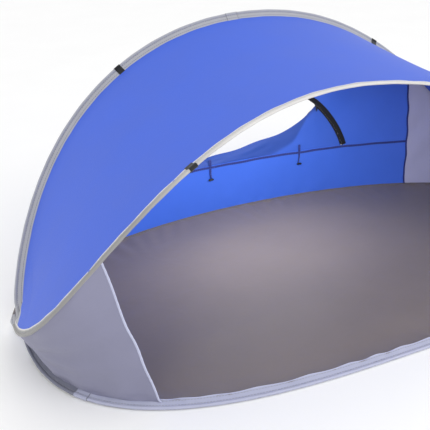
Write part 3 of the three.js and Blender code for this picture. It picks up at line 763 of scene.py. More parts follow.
def build_sleeve(name, rail, body, finish, seed, pucker=0.0011):
    outer, inner, uvs, edges = sleeve_rings(rail, seed, pucker)
    x = outer[..., 0]
    # Painted shade: the lip's tape is painted darker on its underside towards its left end, and the front
    # tape is painted darker left of its joint, as the same tape in shade.
    if name == "lip":
        underside = np.clip((edges - 0.004) / 0.003, 0, 1)
        painted_shade = underside * np.clip((-x - 0.45) / 0.35, 0, 1)
    elif name == "front_ground":
        painted_shade = np.clip((FRONT_JOINT_X - x) / 0.004, 0, 1)
    else:
        painted_shade = np.zeros(x.shape)
    marks = {"edge": edges, "painted_shade": painted_shade}
    obj = sweep_piece(f"{name}_sleeve_cloth", outer, uvs, marks, FINISHES[finish], inner)
    fit_piece(obj, body, f"{name}_sleeve")
    return obj


def build_band(name, rail, x, length, body, finish, node, grow):
    """A strap sewn round a sleeve, as long as given along it."""
    middle = rail.station(x)
    half = length / 2
    steps = np.linspace(rail.run[middle] - half, rail.run[middle] + half, 9)
    rings, uvs, edges = [], [], []
    for step in steps:
        i = int(np.clip(np.searchsorted(rail.run, step), 1, STATIONS))
        share = (step - rail.run[i - 1]) / (rail.run[i] - rail.run[i - 1])
        across, lift, _ = sleeve_outline(rail.tapes[i], TUBE_RADIUS, grow)
        centre = rail.points[i - 1] * (1 - share) + rail.points[i] * share
        rings.append(centre + rail.webs[i] * across[:, None] + rail.faces[i] * lift[:, None])
        uvs.append(np.stack([np.full(len(across), step), across], axis=-1))
        edges.append(np.full(len(across), min(step - steps[0], steps[-1] - step)))
    obj = sweep_piece(name, np.array(rings), np.array(uvs), {"edge": np.array(edges)}, FINISHES[finish])
    round_edges(obj, 0.0005, 2, 50)
    finish_piece(obj, FINISHES[finish])
    fit_piece(obj, body, node)
    return obj


def corner_cuff(side, word):
    """The cloth wrap at a corner: a full cuff round each loop's bend."""
    for label, loop, crossing, thick in (("inner", LOOP_A, TURN_A, 0.0068),
                                         ("outer", LOOP_B, TURN_B, 0.0076)):
        turns = np.linspace(crossing - 0.16, crossing + 0.16, 1201)
        path = loop_at_turn(loop, turns * side)
        run = along_path(path)
        middle = run[600]
        wanted = np.linspace(middle - CUFF_HALF, middle + CUFF_HALF, CUFF_STATIONS)
        points = np.stack([np.interp(wanted, run, path[:, k]) for k in range(3)], axis=-1)
        padded = np.concatenate([points[:1], points, points[-1:]])
        tangents = unit(padded[2:] - padded[:-2])
        out = np.tile([float(side), 0.0, 0.0], (CUFF_STATIONS, 1))
        out = unit(out - (out * tangents).sum(1)[:, None] * tangents)
        up = np.cross(tangents, out)
        angle = np.linspace(0, 2 * math.pi, 25)[:-1]
        t = np.linspace(-1, 1, CUFF_STATIONS)
        girth = thick * (0.80 + 0.34 * np.cos(t * math.pi / 2) ** 1.5) * (1 + 0.035 * np.sin(t * 23))
        girth[[0, -1]] = TUBE_RADIUS + 0.0006
        wide = 1 + (0.55 if label == "outer" else 0.25) * np.cos(t * math.pi / 2) ** 2
        rings = (points[:, None] + out[:, None] * (girth * wide)[:, None, None]
                 * np.cos(angle)[None, :, None]
                 - out[:, None] * (0.004 * np.cos(t * math.pi / 2) ** 2)[:, None, None] * (label == "outer")
                 + up[:, None] * girth[:, None, None] * np.sin(angle)[None, :, None])
        uvs = np.stack(np.broadcast_arrays(wanted[:, None], (angle * 0.007)[None, :]), axis=-1)
        edges = np.broadcast_to((CUFF_HALF - np.abs(wanted - middle))[:, None], (CUFF_STATIONS, 24))
        obj = sweep_piece(f"corner_cuff_{label}_{word}", rings, uvs, {"edge": edges}, FINISHES["tape"])
        fit_piece(obj, "root", f"corner_wrap_{word}")


# ------------------------------------------------------------------ roof, wall, floor, gussets

def surface_normals(points):
    du = np.gradient(points, axis=1)
    dv = np.gradient(points, axis=0)
    return unit(np.cross(du, dv))


def flat_uvs(points):
    """UVs in metres for a grid: distance along its middle row, and distance up each column."""
    middle = points[points.shape[0] // 2]
    along = along_path(middle)
    steps = np.linalg.norm(np.diff(points, axis=0), axis=2)
    up = np.concatenate([np.zeros((1, points.shape[1])), np.cumsum(steps, axis=0)])
    return np.stack(np.broadcast_arrays(along[None, :], up), axis=-1)


def grid_area(points):
    a = points[1:, 1:] - points[:-1, :-1]
    b = points[1:, :-1] - points[:-1, 1:]
    return float(np.linalg.norm(np.cross(a, b), axis=2).sum() / 2)


def build_roof(rails, sizes):
    ridge, lip = rails["ridge"], rails["lip"]
    high = ridge.edge(HEM_INSET)
    low = lip.edge(HEM_INSET)
    v = np.linspace(0, 1, 49)
    points = high[None] * (1 - v)[:, None, None] + low[None] * v[:, None, None]
    normal = surface_normals(points)
    outward = np.sign((normal[24, STATIONS // 2] * np.array([0, -0.3, 1.0])).sum())
    normal = normal * outward
    u = ridge.run / ridge.run[-1]
    span = np.linalg.norm(high - low, axis=1)[None]
    arch = np.sin(math.pi * v)[:, None]
    fullness = np.clip(span / 0.5, 0, 1) ** 1.5
    sag = -sizes.roof_sag * arch * fullness
    corner = np.minimum(ridge.run, ridge.run[-1] - ridge.run)[None]
    pull = np.exp(-corner / 0.20) * np.clip(corner / 0.06, 0, 1)
    creases = sizes.crease * 0.9 * pull * np.sin(v[:, None] * 15 + 2 * u[None]) * arch
    drift = sizes.crease * 0.7 * ripple(ridge.run[None] / 0.55, v[:, None] * 0.9, 11) * arch * fullness
    joint = np.exp(-((ridge.run - ridge.run[ridge.station(RIDGE_JOINT_X)]) / 0.09) ** 2)[None]
    pleats = np.sin((ridge.run[None] + v[:, None] * 0.25) / 0.013)
    tuck = 0.0016 * joint * np.exp(-v[:, None] / 0.10) * pleats * arch ** 0.3
    points = points + normal * (sag + creases + drift + tuck)[..., None]
    fold = np.broadcast_to((FOLD_RIDGE + (FOLD_LIP - FOLD_RIDGE) * v)[:, None], points.shape[:2])
    # Near each corner the grey tape goes on over the narrowing cloth, and covers its last few centimetres.
    band = np.maximum(0.0, 0.036 - ridge.tapes)[None] * np.clip((0.34 - corner) / 0.05, 0, 1)
    bound = np.clip((band - v[:, None] * span) / 0.002, 0, 1)
    bound = np.maximum(bound, np.clip((0.078 + 0.058 * v[:, None] - corner) / 0.003, 0, 1))
    marks = {"fold": fold, "bound": bound}
    obj = sheet_piece("roof_cloth", [(points, flat_uvs(points), marks)], sizes.cloth, FINISHES["roof"])
    fold_with(obj, mark_values(obj, "fold"))
    stand_for("roof_panel")


def wall_y(x, z):
    low = loop_at_x(LOOP_B, x, False)
    high = loop_at_x(LOOP_A, x, True)
    share = (z - low[..., 2]) / np.maximum(high[..., 2] - low[..., 2], 1e-4)
    return low[..., 1] + (high[..., 1] - low[..., 1]) * share


def wall_relief(x, z):
    """Soft billow and creases of the wall, none at its seams."""
    top = loop_at_x(LOOP_A, x, True)[..., 2]
    foot = loop_at_x(LOOP_B, x, False)[..., 2]
    share = np.clip((z - foot) / np.maximum(top - foot, 1e-4), 0, 1)
    keep = np.sin(math.pi * share)
    drift = 0.0034 * ripple(x / 0.62, z / 0.38, 5) * keep
    base = np.exp(-((z - foot) / 0.07) ** 2) * np.clip((z - foot) / 0.015, 0, 1)
    group = 0.5 + 0.5 * np.sin(x / 0.23 + 1.0)
    gathers = 0.0020 * base * np.sin(x / 0.021 + 3 * np.sin(x / 0.19)) * group
    return drift + gathers


def wall_points(x, z, inward=0.0):
    x, z = np.broadcast_arrays(np.asarray(x, float), np.asarray(z, float))
    near = np.exp(-((np.abs(x) - SEAM_SIDE) / 0.07) ** 2)
    bowed = 0.012 * np.sin((z - 0.10) / 0.17) * np.clip(z / 0.05, 0, 1) * np.clip((0.72 - z) / 0.12, 0, 1)
    y = wall_y(x, z) + wall_relief(x, z) - inward
    return np.stack([x + np.sign(x) * near * bowed, y, z], axis=-1)


def wall_slope(loop, x, top):
    a = loop_at_x(loop, x - 0.001, top)
    b = loop_at_x(loop, x + 0.001, top)
    return np.hypot(1, (b[..., 2] - a[..., 2]) / 0.002)


def wall_top(x):
    x = np.asarray(x, float)
    return loop_at_x(LOOP_A, x, True)[..., 2] - 0.0035 * wall_slope(LOOP_A, x, True)


def wall_foot(x):
    return loop_at_x(LOOP_B, x, False)[..., 2] + 0.0035


def wall_fold(x, z):
    """The wall's share of the front fold: none at its foot, all of the ridge's above the seam."""
    foot = wall_foot(np.clip(x, -WALL_END, WALL_END))
    top = np.minimum(SEAM_HEIGHT, wall_top(np.clip(x, -WALL_END, WALL_END)))
    return FOLD_RIDGE * np.clip((z - foot) / np.maximum(top - SEAM_ALLOWANCE - foot, 1e-3), 0, 1)


def wall_grid(x, z):
    points = wall_points(x, z)
    across, up = points[..., 0], points[..., 2]
    return points, np.stack([across, up], axis=-1), {"fold": wall_fold(across, up)}


def ray_length(angle):
    """How far a ray from the window's centre goes before the side seam or the top of the wall."""
    sine, cosine = math.sin(angle), math.cos(angle)
    low, high = WINDOW_RADIUS, 1.2
    if abs(sine) > 1e-6:
        high = min(high, SEAM_SIDE / abs(sine))
    if WINDOW_CENTRE + high * cosine <= float(wall_top(high * sine)):
        return high
    for _ in range(40):
        middle = (low + high) / 2
        if WINDOW_CENTRE + middle * cosine <= float(wall_top(middle * sine)):
            low = middle
        else:
            high = middle
    return low


def upper_wall_grids():
    """The wall above the seam: rays round the window, a wedge at each side and a strip under the sill."""
    end = math.acos((WINDOW_SILL - WINDOW_CENTRE) / WINDOW_CUT)
    angles = np.linspace(-end, end, 181)
    reach = np.array([ray_length(a) for a in angles])
    share = np.linspace(0, 1, 21)
    radius = WINDOW_CUT + (reach[None] - WINDOW_CUT) * share[:, None]
    x = radius * np.sin(angles)[None]
    z = WINDOW_CENTRE + radius * np.cos(angles)[None]
    grids = [wall_grid(x, z)]
    rise = np.linspace(0, 1, 7)[:, None]
    for column in (0, -1):
        edge_x, edge_z = x[:, column], z[:, column]
        grids.append(wall_grid(np.broadcast_to(edge_x[None], (7, 21)),
                               SEAM_HEIGHT + (edge_z[None] - SEAM_HEIGHT) * rise))
    sill = np.linspace(x[0, 0], x[0, -1], 81)[None]
    grids.append(wall_grid(np.broadcast_to(sill, (7, 81)),
                           SEAM_HEIGHT + (WINDOW_SILL - SEAM_HEIGHT) * np.broadcast_to(rise, (7, 81))))
    return grids


def build_walls(sizes):
    grids = upper_wall_grids()
    upper = sheet_piece("wall_upper_cloth", grids, sizes.cloth, FINISHES["wall"])
    fit_piece(upper, "ridge_arch", "wall_upper_panel")

    x = np.linspace(-SEAM_SIDE, SEAM_SIDE, 201)[None]
    rise = np.linspace(0, 1, 25)[:, None]
    foot = wall_foot(x)
    grid = wall_grid(np.broadcast_to(x, (25, 201)), foot + (SEAM_HEIGHT - foot) * rise)
    lower = sheet_piece("wall_lower_cloth", [grid], sizes.cloth, FINISHES["wall"])
    fold_with(lower, mark_values(lower, "fold"))
    stand_for("wall_lower_panel")

    for word, side in SIDES:
        t = np.linspace(0, 1, 61)[None]
        x = side * (SEAM_SIDE + (WALL_END - SEAM_SIDE) * t)
        rise = np.linspace(0, 1, 33)[:, None]
        foot, top = wall_foot(x), np.maximum(wall_top(x), wall_foot(x) + 0.002)
        points, uvs, marks = wall_grid(np.broadcast_to(x, (33, 61)), foot + (top - foot) * rise)
        keep = np.sin(math.pi * rise) * np.clip((top - foot) / 0.3, 0, 1) * np.clip(t / 0.14, 0, 1) ** 2
        slant = points[..., 2] * 1.1 - np.abs(points[..., 0]) * 0.9
        points[..., 1] += 0.0045 * keep * np.sin(slant / 0.034)
        end = sheet_piece(f"wall_end_cloth_{word}", [(points, uvs, marks)], sizes.cloth, FINISHES["end"])
        fold_with(end, mark_values(end, "fold"))
        stand_for(f"wall_end_{word}")


def ribbon(name, points, across, width, thickness, finish):
    """A flat tape along a line of points, as wide as given the way across points."""
    offsets = np.linspace(-0.5, 0.5, 5) * width
    crown = 0.18 * thickness * np.cos(np.linspace(-1, 1, 5) * math.pi / 2)
    out = unit(np.cross(np.gradient(points, axis=0), across))
    grid = points[None] + across[None] * offsets[:, None, None] + out[None] * crown[:, None, None]
    run = along_path(points)
    uvs = np.stack(np.broadcast_arrays(run[None, :], offsets[:, None]), axis=-1)
    edge = np.broadcast_to((width / 2 - np.abs(offsets))[:, None], grid.shape[:2])
    return sheet_piece(name, [(grid, uvs, {"edge": edge})], thickness, FINISHES[finish], 1e-6)


def build_seams():
    """The bound seams of the wall: one level and one at each side."""
    x = np.linspace(-SEAM_SIDE, SEAM_SIDE, 241)
    waver = 0.0008 * np.sin(x / 0.05) + 0.0006 * np.sin(x / 0.023 + 1)
    line = wall_points(x, SEAM_HEIGHT + waver, SEAM_LIFT)
    up = np.tile([0.0, 0.0, 1.0], (len(x), 1))
    seam = ribbon("wall_seam_binding", line, up, SEAM_WIDTH, BINDING_THICKNESS, "navy")
    fit_piece(seam, "ridge_arch", "wall_seam_tape")
    for word, side in SIDES:
        t = np.linspace(0, 1, 121)
        x = np.full(121, side * SEAM_SIDE) + 0.0022 * np.sin(t * 31) * np.sin(math.pi * t)
        z = wall_foot(x) + (wall_top(x) - wall_foot(x)) * t
        line = wall_points(x, z, SIDE_SEAM_LIFT)
        level = np.tile([1.0, 0.0, 0.0], (121, 1))
        strip = ribbon(f"wall_side_binding_{word}", line, level, SIDE_SEAM_WIDTH, BINDING_THICKNESS, "navy")
        places = point_places(strip)
        fold_with(strip, wall_fold(places[:, 0], places[:, 2]))
        stand_for(f"wall_side_seam_{word}")


def edge_at(edge, x):
    order = np.argsort(edge[:, 0])
    return np.stack([np.interp(x, edge[order, 0], edge[order, k]) for k in (1, 2)], axis=-1)


def build_floor(rails, sizes):
    x = FLOOR_HALF * np.sin(np.linspace(-math.pi / 2, math.pi / 2, 331))
    front = edge_at(rails["front_ground"].edge(HEM_INSET), x)
    rear = edge_at(rails["rear_ground"].edge(HEM_INSET), x)
    v = np.sin(np.linspace(-math.pi / 2, math.pi / 2, 101)) * 0.5 + 0.5
    y = front[None, :, 0] * (1 - v)[:, None] + rear[None, :, 0] * v[:, None]
    z = front[None, :, 1] * (1 - v)[:, None] + rear[None, :, 1] * v[:, None]
    grid_x = np.broadcast_to(x[None], y.shape)
    inset = np.minimum(np.abs(y - front[None, :, 0]), np.abs(rear[None, :, 0] - y))
    lift = np.clip(1 - inset / 0.09, 0, 1) ** 2
    keep = np.clip(inset / 0.05, 0, 1)
    broad = ripple(grid_x / 0.8, y / 0.5, 21)
    small = ripple(grid_x / 0.24, y / 0.3, 22)
    # Gathers run in from the seams, in loose groups: short ones at the wall and longer ones at the front.
    behind = rear[None, :, 0] - y
    before = y - front[None, :, 0]
    rear_group = 0.35 + 0.65 * np.maximum(0, np.sin(grid_x / 0.13 + 1.1))
    front_group = np.maximum(0, np.sin(grid_x / 0.21 + 0.2)) ** 2
    rear_phase = grid_x / 0.0125 + 30 * behind * np.sin(grid_x / 0.09)
    rear_gathers = np.exp(-(behind / 0.11) ** 2) * np.sin(rear_phase)
    front_phase = (grid_x + 0.55 * before) / 0.0115 + np.sin(grid_x / 0.05)
    front_gathers = np.exp(-(before / 0.13) ** 2) * np.sin(front_phase)
    gathers = (0.0042 * rear_group * rear_gathers * np.clip(behind / 0.012, 0, 1)
               + 0.0052 * front_group * front_gathers * np.clip(before / 0.02, 0, 1))
    gathers = gathers * np.clip((1.0 - np.abs(grid_x)) / 0.2, 0, 1)
    relief = (0.0020 + 0.0016 * broad + 0.0009 * small) * keep
    z = FLOOR_REST + (z - FLOOR_REST) * lift + np.maximum(relief, 0.0) * (1 - lift) + gathers
    z = np.maximum(z, FLOOR_REST)
    points = np.stack([grid_x, y, z], axis=-1)
    uvs = np.stack([grid_x, y], axis=-1)
    obj = sheet_piece("floor_cloth", [(points, uvs, {})], sizes.cloth, FINISHES["floor"])
    places = point_places(obj)
    share = np.clip((0.02 - places[:, 1]) / 0.12, 0, 1)
    fold_with(obj, share * share * (3 - 2 * share))
    stand_for("floor_sheet")


def rail_line(rail, at, side):
    """Point, web and tape width at fractional stations counted from one corner."""
    at = np.asarray(at, float)
    exact = at if side < 0 else STATIONS - at
    i = np.clip(np.floor(exact).astype(int), 0, STATIONS - 1)
    share = (exact - i)[..., None]
    point = rail.points[i] * (1 - share) + rail.points[i + 1] * share
    web = unit(rail.webs[i] * (1 - share) + rail.webs[i + 1] * share)
    tape = rail.tapes[i] * (1 - share[..., 0]) + rail.tapes[i + 1] * share[..., 0]
    return point, web, tape


def station_of(rail, x):
    i = int(np.searchsorted(rail.points[:STATIONS // 2, 0], -x)) - 1
    return i + (-x - rail.points[i, 0]) / (rail.points[i + 1, 0] - rail.points[i, 0])


def gusset_points(rails, side, u, v):
    """Points of a gusset between lip arch and front hoop; u runs from the corner to the free hem."""
    lip, front = rails["lip"], rails["front_ground"]
    start = GUSSET_START * REFINE
    a, _, _ = rail_line(lip, start + (station_of(lip, GUSSET_LIP_X) - start) * u, side)
    b, web, tape = rail_line(front, start + (station_of(front, GUSSET_FRONT_X) - start) * u, side)
    down = unit(b - a)
    top = a + down * 0.0044
    foot = b + web * np.maximum(0.0, tape - 0.010)[..., None]
    foot[..., 2] += 0.0028
    return top[None] * (1 - v)[:, None, None] + foot[None] * v[:, None, None]


def build_hem(points, word):
    """The bound free edge of a gusset: a flattened tube along its last column of points."""
    edge = points[:, -1]
    inward = unit(points[:, -1] - points[:, -4])
    along = unit(np.gradient(edge, axis=0))
    out = unit(np.cross(along, inward))
    turn = np.linspace(0, 2 * math.pi, 17)[:-1]
    t = np.linspace(0, 1, 61)
    pinch = 1 + 0.10 * np.sin(t * 130) * np.sin(t * 17)
    wide, thick = HEM_WIDE * pinch, HEM_THICK * pinch
    centre = edge + inward * 0.0008
    rings = (centre[:, None] + inward[:, None] * wide[:, None, None] * np.cos(turn)[None, :, None]
             + out[:, None] * thick[:, None, None] * np.sin(turn)[None, :, None])
    run = along_path(edge)
    uvs = np.stack(np.broadcast_arrays(run[:, None], (HEM_WIDE * np.cos(turn))[None]), axis=-1)
    edges = np.broadcast_to((HEM_WIDE - HEM_WIDE * np.abs(np.cos(turn)))[None], rings.shape[:2])
    folds = np.broadcast_to((FOLD_LIP + (1 - FOLD_LIP) * t)[:, None], rings.shape[:2])
    hem = sweep_piece(f"gusset_hem_cloth_{word}", rings, uvs, {"edge": edges, "fold": folds},
                      FINISHES["pale"])
    fold_with(hem, mark_values(hem, "fold"))
    stand_for(f"gusset_hem_{word}")


def build_gussets(rails, sizes):
    for word, side in SIDES:
        u = np.linspace(0, 1, 73)
        v = np.linspace(0, 1, 61)
        points = gusset_points(rails, side, u, v)
        normal = surface_normals(points)
        keep = (np.sin(math.pi * v) ** 0.8)[:, None]
        size = np.clip(np.linalg.norm(points[0] - points[-1], axis=1) / 0.25, 0, 1)[None]
        uu, vv = u[None], v[:, None]
        drape = 0.0045 * np.sin(9 * vv + 5 * uu) + 0.0035 * np.sin(21 * (vv - 0.55 * uu) + 1.2)
        foot_size = (0.003 + 0.005 * uu ** 3) * np.exp(-(1 - vv) / 0.15) * np.clip((1 - vv) / 0.03, 0, 1)
        foot_gathers = foot_size * np.sin(uu * 52 + 9 * vv)
        head_gathers = 0.0025 * np.exp(-vv / 0.12) * np.sin(uu * 40) * np.clip(vv / 0.03, 0, 1)
        hem_wave = 0.006 * np.exp(-(1 - uu) / 0.10) * np.sin(vv * 11 + 0.7) * keep
        relief = (drape * keep + foot_gathers + head_gathers) * size + hem_wave
        points = points + normal * relief[..., None]
        slack = (0.0020 * np.sin(vv * 13 + 0.4) - 0.0045 * np.sin(vv * 3.3)) * keep
        slack = slack * np.exp(-(1 - uu) / 0.12)
        points = points + unit(np.gradient(points, axis=1)) * slack[..., None]
        fold = np.broadcast_to((FOLD_LIP + (1 - FOLD_LIP) * v)[:, None], points.shape[:2])
        gusset = sheet_piece(f"gusset_cloth_{word}", [(points, flat_uvs(points), {"fold": fold})],
                             sizes.cloth, FINISHES["grey"])
        fold_with(gusset, mark_values(gusset, "fold"))
        stand_for(f"gusset_{word}")
        build_hem(points, word)


# ------------------------------------------------------------------ window

def flap_top(x):
    """Height of the slumped flap's folded top edge."""
    t = np.clip((x - FLAP_LEFT) / FLAP_RUN, 0, 1)
    slack = WINDOW_SILL + 0.012 + 0.110 * t ** 1.4 + 0.085 * t ** 9
    slack = slack + 0.0035 * np.sin(x / 0.035 + 1) * np.sin(math.pi * t)
    inner = FLAP_TAPE[0] + 0.005
    return np.minimum(slack, WINDOW_CENTRE + np.sqrt(np.maximum(0, inner ** 2 - x ** 2)))


def fold_edge(x):
    """The height where the flap's loose cloth ends: low along the sill, high at the window's right."""
    share = np.clip((x - FOLD_RISE_START) / FOLD_RISE_RUN, 0, 1)
    return FOLD_LOW + FOLD_BOWL * (x - FOLD_LOW_AT) ** 2 + FOLD_RISE * share * share * (3 - 2 * share)


def build_flap(sizes):
    inner = FLAP_TAPE[0] + 0.005
    foot = WINDOW_SILL - ZIP_LIFT
    right = math.sqrt(inner ** 2 - (foot + 0.004 - WINDOW_CENTRE) ** 2)
    x = np.linspace(FLAP_LEFT, right, 141)[None]
    v = np.linspace(0, 1, 33)[:, None]
    top = flap_top(x)
    z = foot + (top - foot) * v
    free = np.clip((FLAP_LEFT + FLAP_RUN - x) / FLAP_RUN, 0, 1)
    lean = sizes.flap_lean * free * v ** 2 + 0.004 * np.exp(-((x - 0.20) / 0.12) ** 2) * v
    crumple = 0.0032 * ripple(x / 0.22, v * 0.8, 31) * np.sin(math.pi * np.clip(v, 0, 1)) * (0.3 + free)
    front = wall_points(np.broadcast_to(x, z.shape), z, -ZIP_LIFT)
    front[..., 1] += lean + crumple
    edge = np.minimum(fold_edge(x), top)
    # Painted shade: the flap is painted darker where its cloth lies double, as two layers let less light
    # through.
    double_layer_shade = 1 / (1 + np.exp(-(z - edge - 0.004) / 0.0035)) * np.clip((top - edge) / 0.012, 0, 1)
    # The fallen part goes over the top edge and hangs down outside.
    w = np.linspace(0, 1, 25)[1:, None]
    hang = top - (top - edge) * w
    lip_round = 0.005 * np.sin(np.clip(w * 6, 0, 1) * math.pi / 2)
    back = wall_points(np.broadcast_to(x, hang.shape), hang, -ZIP_LIFT)
    back[..., 1] += sizes.flap_lean * free * ((hang - foot) / np.maximum(top - foot, 1e-3)).clip(0, 1) ** 2
    back[..., 1] += (0.004 * np.exp(-((x - 0.20) / 0.12) ** 2) + lip_round + 0.006 * w
                     + 0.0025 * ripple(x / 0.17, w, 33) * w)
    stays = x[0] <= FLAP_FOLD_END
    hinge = np.clip((z - foot) / FLAP_HINGE_RUN, 0, 1)
    grid_front = (front, np.stack([np.broadcast_to(x, z.shape), z], axis=-1),
                  {"double_layer_shade": double_layer_shade, "hinge": hinge})
    ring = np.concatenate([front[-1:], back])[:, stays]
    back_z = np.concatenate([z[-1:], hang])
    back_uv = np.stack([np.broadcast_to(x, back_z.shape), 2 * top - back_z], axis=-1)[:, stays]
    back_hinge = np.broadcast_to(np.clip((top - foot) / FLAP_HINGE_RUN, 0, 1), back_z.shape)[:, stays]
    grid_back = (ring, back_uv, {"double_layer_shade": np.ones(ring.shape[:2]), "hinge": back_hinge})
    area = grid_area(front) + grid_area(ring)
    flap = sheet_piece("window_flap_cloth", [grid_front, grid_back], sizes.cloth, FINISHES["flap"], 2e-6)
    drop_with(flap, mark_values(flap, "hinge"))
    stand_for("window_flap")
    hem = ribbon("flap_edge_zip", ring[-1][::-1] + np.array([0, 0.0012, 0.004]),
                 np.tile([0.0, 0.0, 1.0], (ring.shape[1], 1)), FLAP_EDGE_ZIP, ZIP_THICKNESS, "zip")
    hem_x = np.clip(point_places(hem)[:, 0], FLAP_LEFT, right)
    drop_with(hem, (flap_top(hem_x) - foot) / FLAP_HINGE_RUN)
    stand_for("flap_zip_tape")
    return flap, hem, area


def arc_tape(name, radii, start, end, count, body, node):
    """A band of zip tape on the wall between two radii and two angles from upright."""
    angle = np.linspace(start, end, count)
    radius = np.linspace(radii[0], radii[1], 5)
    x = radius[:, None] * np.sin(angle)[None]
    z = WINDOW_CENTRE + radius[:, None] * np.cos(angle)[None]
    points = wall_points(x, z, ZIP_LIFT)
    run = angle * WINDOW_RADIUS
    uvs = np.stack(np.broadcast_arrays(run[None], (radius - radii[0])[:, None]), axis=-1)
    edge = np.broadcast_to(np.minimum(radius - radii[0], radii[1] - radius)[:, None], x.shape)
    tape = sheet_piece(name, [(points, uvs, {"edge": edge})], ZIP_THICKNESS, FINISHES["zip"], 1e-6)
    if body == "flap":
        drop_with(tape, (point_places(tape)[:, 2] - WINDOW_SILL) / FLAP_HINGE_RUN)
    else:
        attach(tape, body)
    stand_for(node)
    return tape


def zip_teeth(name, radius, start, end, body, material):
    """A row of moulded teeth along the zip's arc: one tooth is shaped and the rest are its copies."""
    count = int((end - start) * WINDOW_RADIUS / TOOTH_PITCH)
    tooth = np.array([(across * width, deep * 0.0011, high * 0.0021)
                      for high, width in ((-1, 0.0016), (0.2, 0.0016), (1, 0.0009))
                      for across, deep in ((-1, -1), (1, -1), (1, 1), (-1, 1))])
    sides = [(k + r, (k + 1) % 4 + r, (k + 1) % 4 + r + 4, k + r + 4) for r in (0, 4) for k in range(4)]
    ring = sides + [(3, 2, 1, 0), (8, 9, 10, 11)]
    points, faces, uvs = [], [], []
    for k in range(count):
        angle = start + (k + 0.5) * (end - start) / count
        sine, cosine = math.sin(angle), math.cos(angle)
        centre = wall_points(radius * sine, WINDOW_CENTRE + radius * cosine, TOOTH_LIFT)
        turned = np.stack([tooth[:, 0] * cosine - tooth[:, 2] * sine, tooth[:, 1],
                           -tooth[:, 0] * sine - tooth[:, 2] * cosine], axis=-1)
        faces += [tuple(i + 12 * k for i in f) for f in ring]
        points.append(centre + turned)
        uvs.append(tooth[:, :2])
    obj = mesh_object(name, np.concatenate(points), faces, np.concatenate(uvs))
    clean(obj, 1e-7)
    finish_piece(obj, material, 30)
    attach(obj, body)
    return obj


def zip_place(angle, inward):
    """Place and turn of a fitting on the zip's arc, which leans with the wall."""
    side = math.sqrt(WINDOW_RADIUS ** 2 - (WINDOW_SILL - WINDOW_CENTRE) ** 2)
    foot_y = float(wall_y(side, WINDOW_SILL))
    top_z = WINDOW_CENTRE + WINDOW_RADIUS
    lean = math.atan2(float(wall_y(0.0, top_z)) - foot_y, top_z - WINDOW_SILL)
    x = WINDOW_RADIUS * math.sin(angle)
    z = WINDOW_CENTRE + WINDOW_RADIUS * math.cos(angle)
    y = foot_y + (z - WINDOW_SILL) * math.tan(lean)
    return Matrix.Translation((x, y - inward, z)) @ Matrix.Rotation(-lean, 4, "X")


def boxed(name, size, material, taper=1.0, bevel=0.0006):
    """A moulded block: a cube scaled to size, its far end drawn in, its edges rounded."""
    obj = new_primitive(name, bpy.ops.mesh.primitive_cube_add, size=1.0)
    bpy.ops.object.mode_set(mode="EDIT")
    bpy.ops.mesh.select_all(action="SELECT")
    bpy.ops.transform.resize(value=size, center_override=(0, 0, 0))
    bpy.ops.mesh.subdivide(number_cuts=2)
    bpy.ops.mesh.select_all(action="DESELECT")
    shape = bmesh.from_edit_mesh(obj.data)
    for vertex in shape.verts:
        vertex.select = vertex.co.x > size[0] * 0.45
    shape.select_flush(True)
    bmesh.update_edit_mesh(obj.data)
    bpy.ops.transform.resize(value=(1.0, taper, taper), center_override=(0, 0, 0))
    bpy.ops.object.mode_set(mode="OBJECT")
    round_edges(obj, bevel, 3, 30)
    return finish_piece(obj, material, 35)


def settle(obj, matrix):
    """Puts a piece's place into its mesh and leaves its object at the origin."""
    obj.data.transform(matrix)
    obj.matrix_world = Matrix.Identity(4)
    return obj


def join_into(main, others):
    bpy.ops.object.select_all(action="DESELECT")
    for other in others:
        other.select_set(True)
    main.select_set(True)
    bpy.context.view_layer.objects.active = main
    bpy.ops.object.join()
    return main


def build_zip(sizes):
    end = math.acos((WINDOW_SILL - WINDOW_CENTRE) / WINDOW_RADIUS)
    arc_tape("window_zip_wall_tape", WALL_TAPE, -end, end, 161, "ridge_arch", "window_zip_tape")
    teeth = zip_teeth("window_zip_wall_teeth", TOOTH_RADIUS, -end, end, "ridge_arch", FINISHES["plastic"])
    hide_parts("window_zip_tape")
    flap_tape = arc_tape("flap_zip_closed_tape", FLAP_TAPE, SLIDER_ANGLE, end - 0.01, 61, "flap",
                         "flap_zip_tape")
    flap, hem, area = build_flap(sizes)

    body = boxed("zip_slider_body", (0.013, 0.0044, 0.009), FINISHES["plastic"], taper=0.72)
    bridge = boxed("bridge", (0.007, 0.0022, 0.0028), FINISHES["plastic"], taper=0.9)
    bridge.data.transform(Matrix.Translation((0, -0.0030, 0)))
    slider = join_into(body, [bridge])
    settle(slider, zip_place(SLIDER_ANGLE, SLIDER_LIFT) @ Matrix.Rotation(SLIDER_ANGLE, 4, "Y"))
    fit_piece(slider, "slider", "zip_slider")
    pull = boxed("zip_pull_tab", (0.030, 0.0018, 0.0068), FINISHES["plastic"], taper=0.8, bevel=0.0008)
    cutter = make_bar("cutter", 0.0016, 0.006, FINISHES["plastic"])
    cutter.data.transform(Matrix.Translation((PULL_HOLE, 0, 0)))
    cut = pull.modifiers.new("Hole", "BOOLEAN")
    cut.object = cutter
    cut.operation = "DIFFERENCE"
    select_only(pull)
    bpy.ops.object.modifier_apply(modifier=cut.name)
    bpy.data.objects.remove(cutter)
    hanging = Matrix.Translation((0, 0, -PULL_DROP)) @ Matrix.Rotation(math.pi / 2, 4, "Y")
    settle(pull, zip_place(SLIDER_ANGLE, PULL_LIFT) @ hanging)
    fit_piece(pull, "pull", "zip_pull")


def make_bar(name, radius, depth, material):
    """A round bar along Y with rounded rims."""
    obj = new_primitive(name, bpy.ops.mesh.primitive_cylinder_add, vertices=24, radius=radius, depth=depth)
    obj.data.transform(Matrix.Rotation(math.pi / 2, 4, "X"))
    return finish_piece(obj, material, 35)


# ------------------------------------------------------------------ ties, tabs, wires

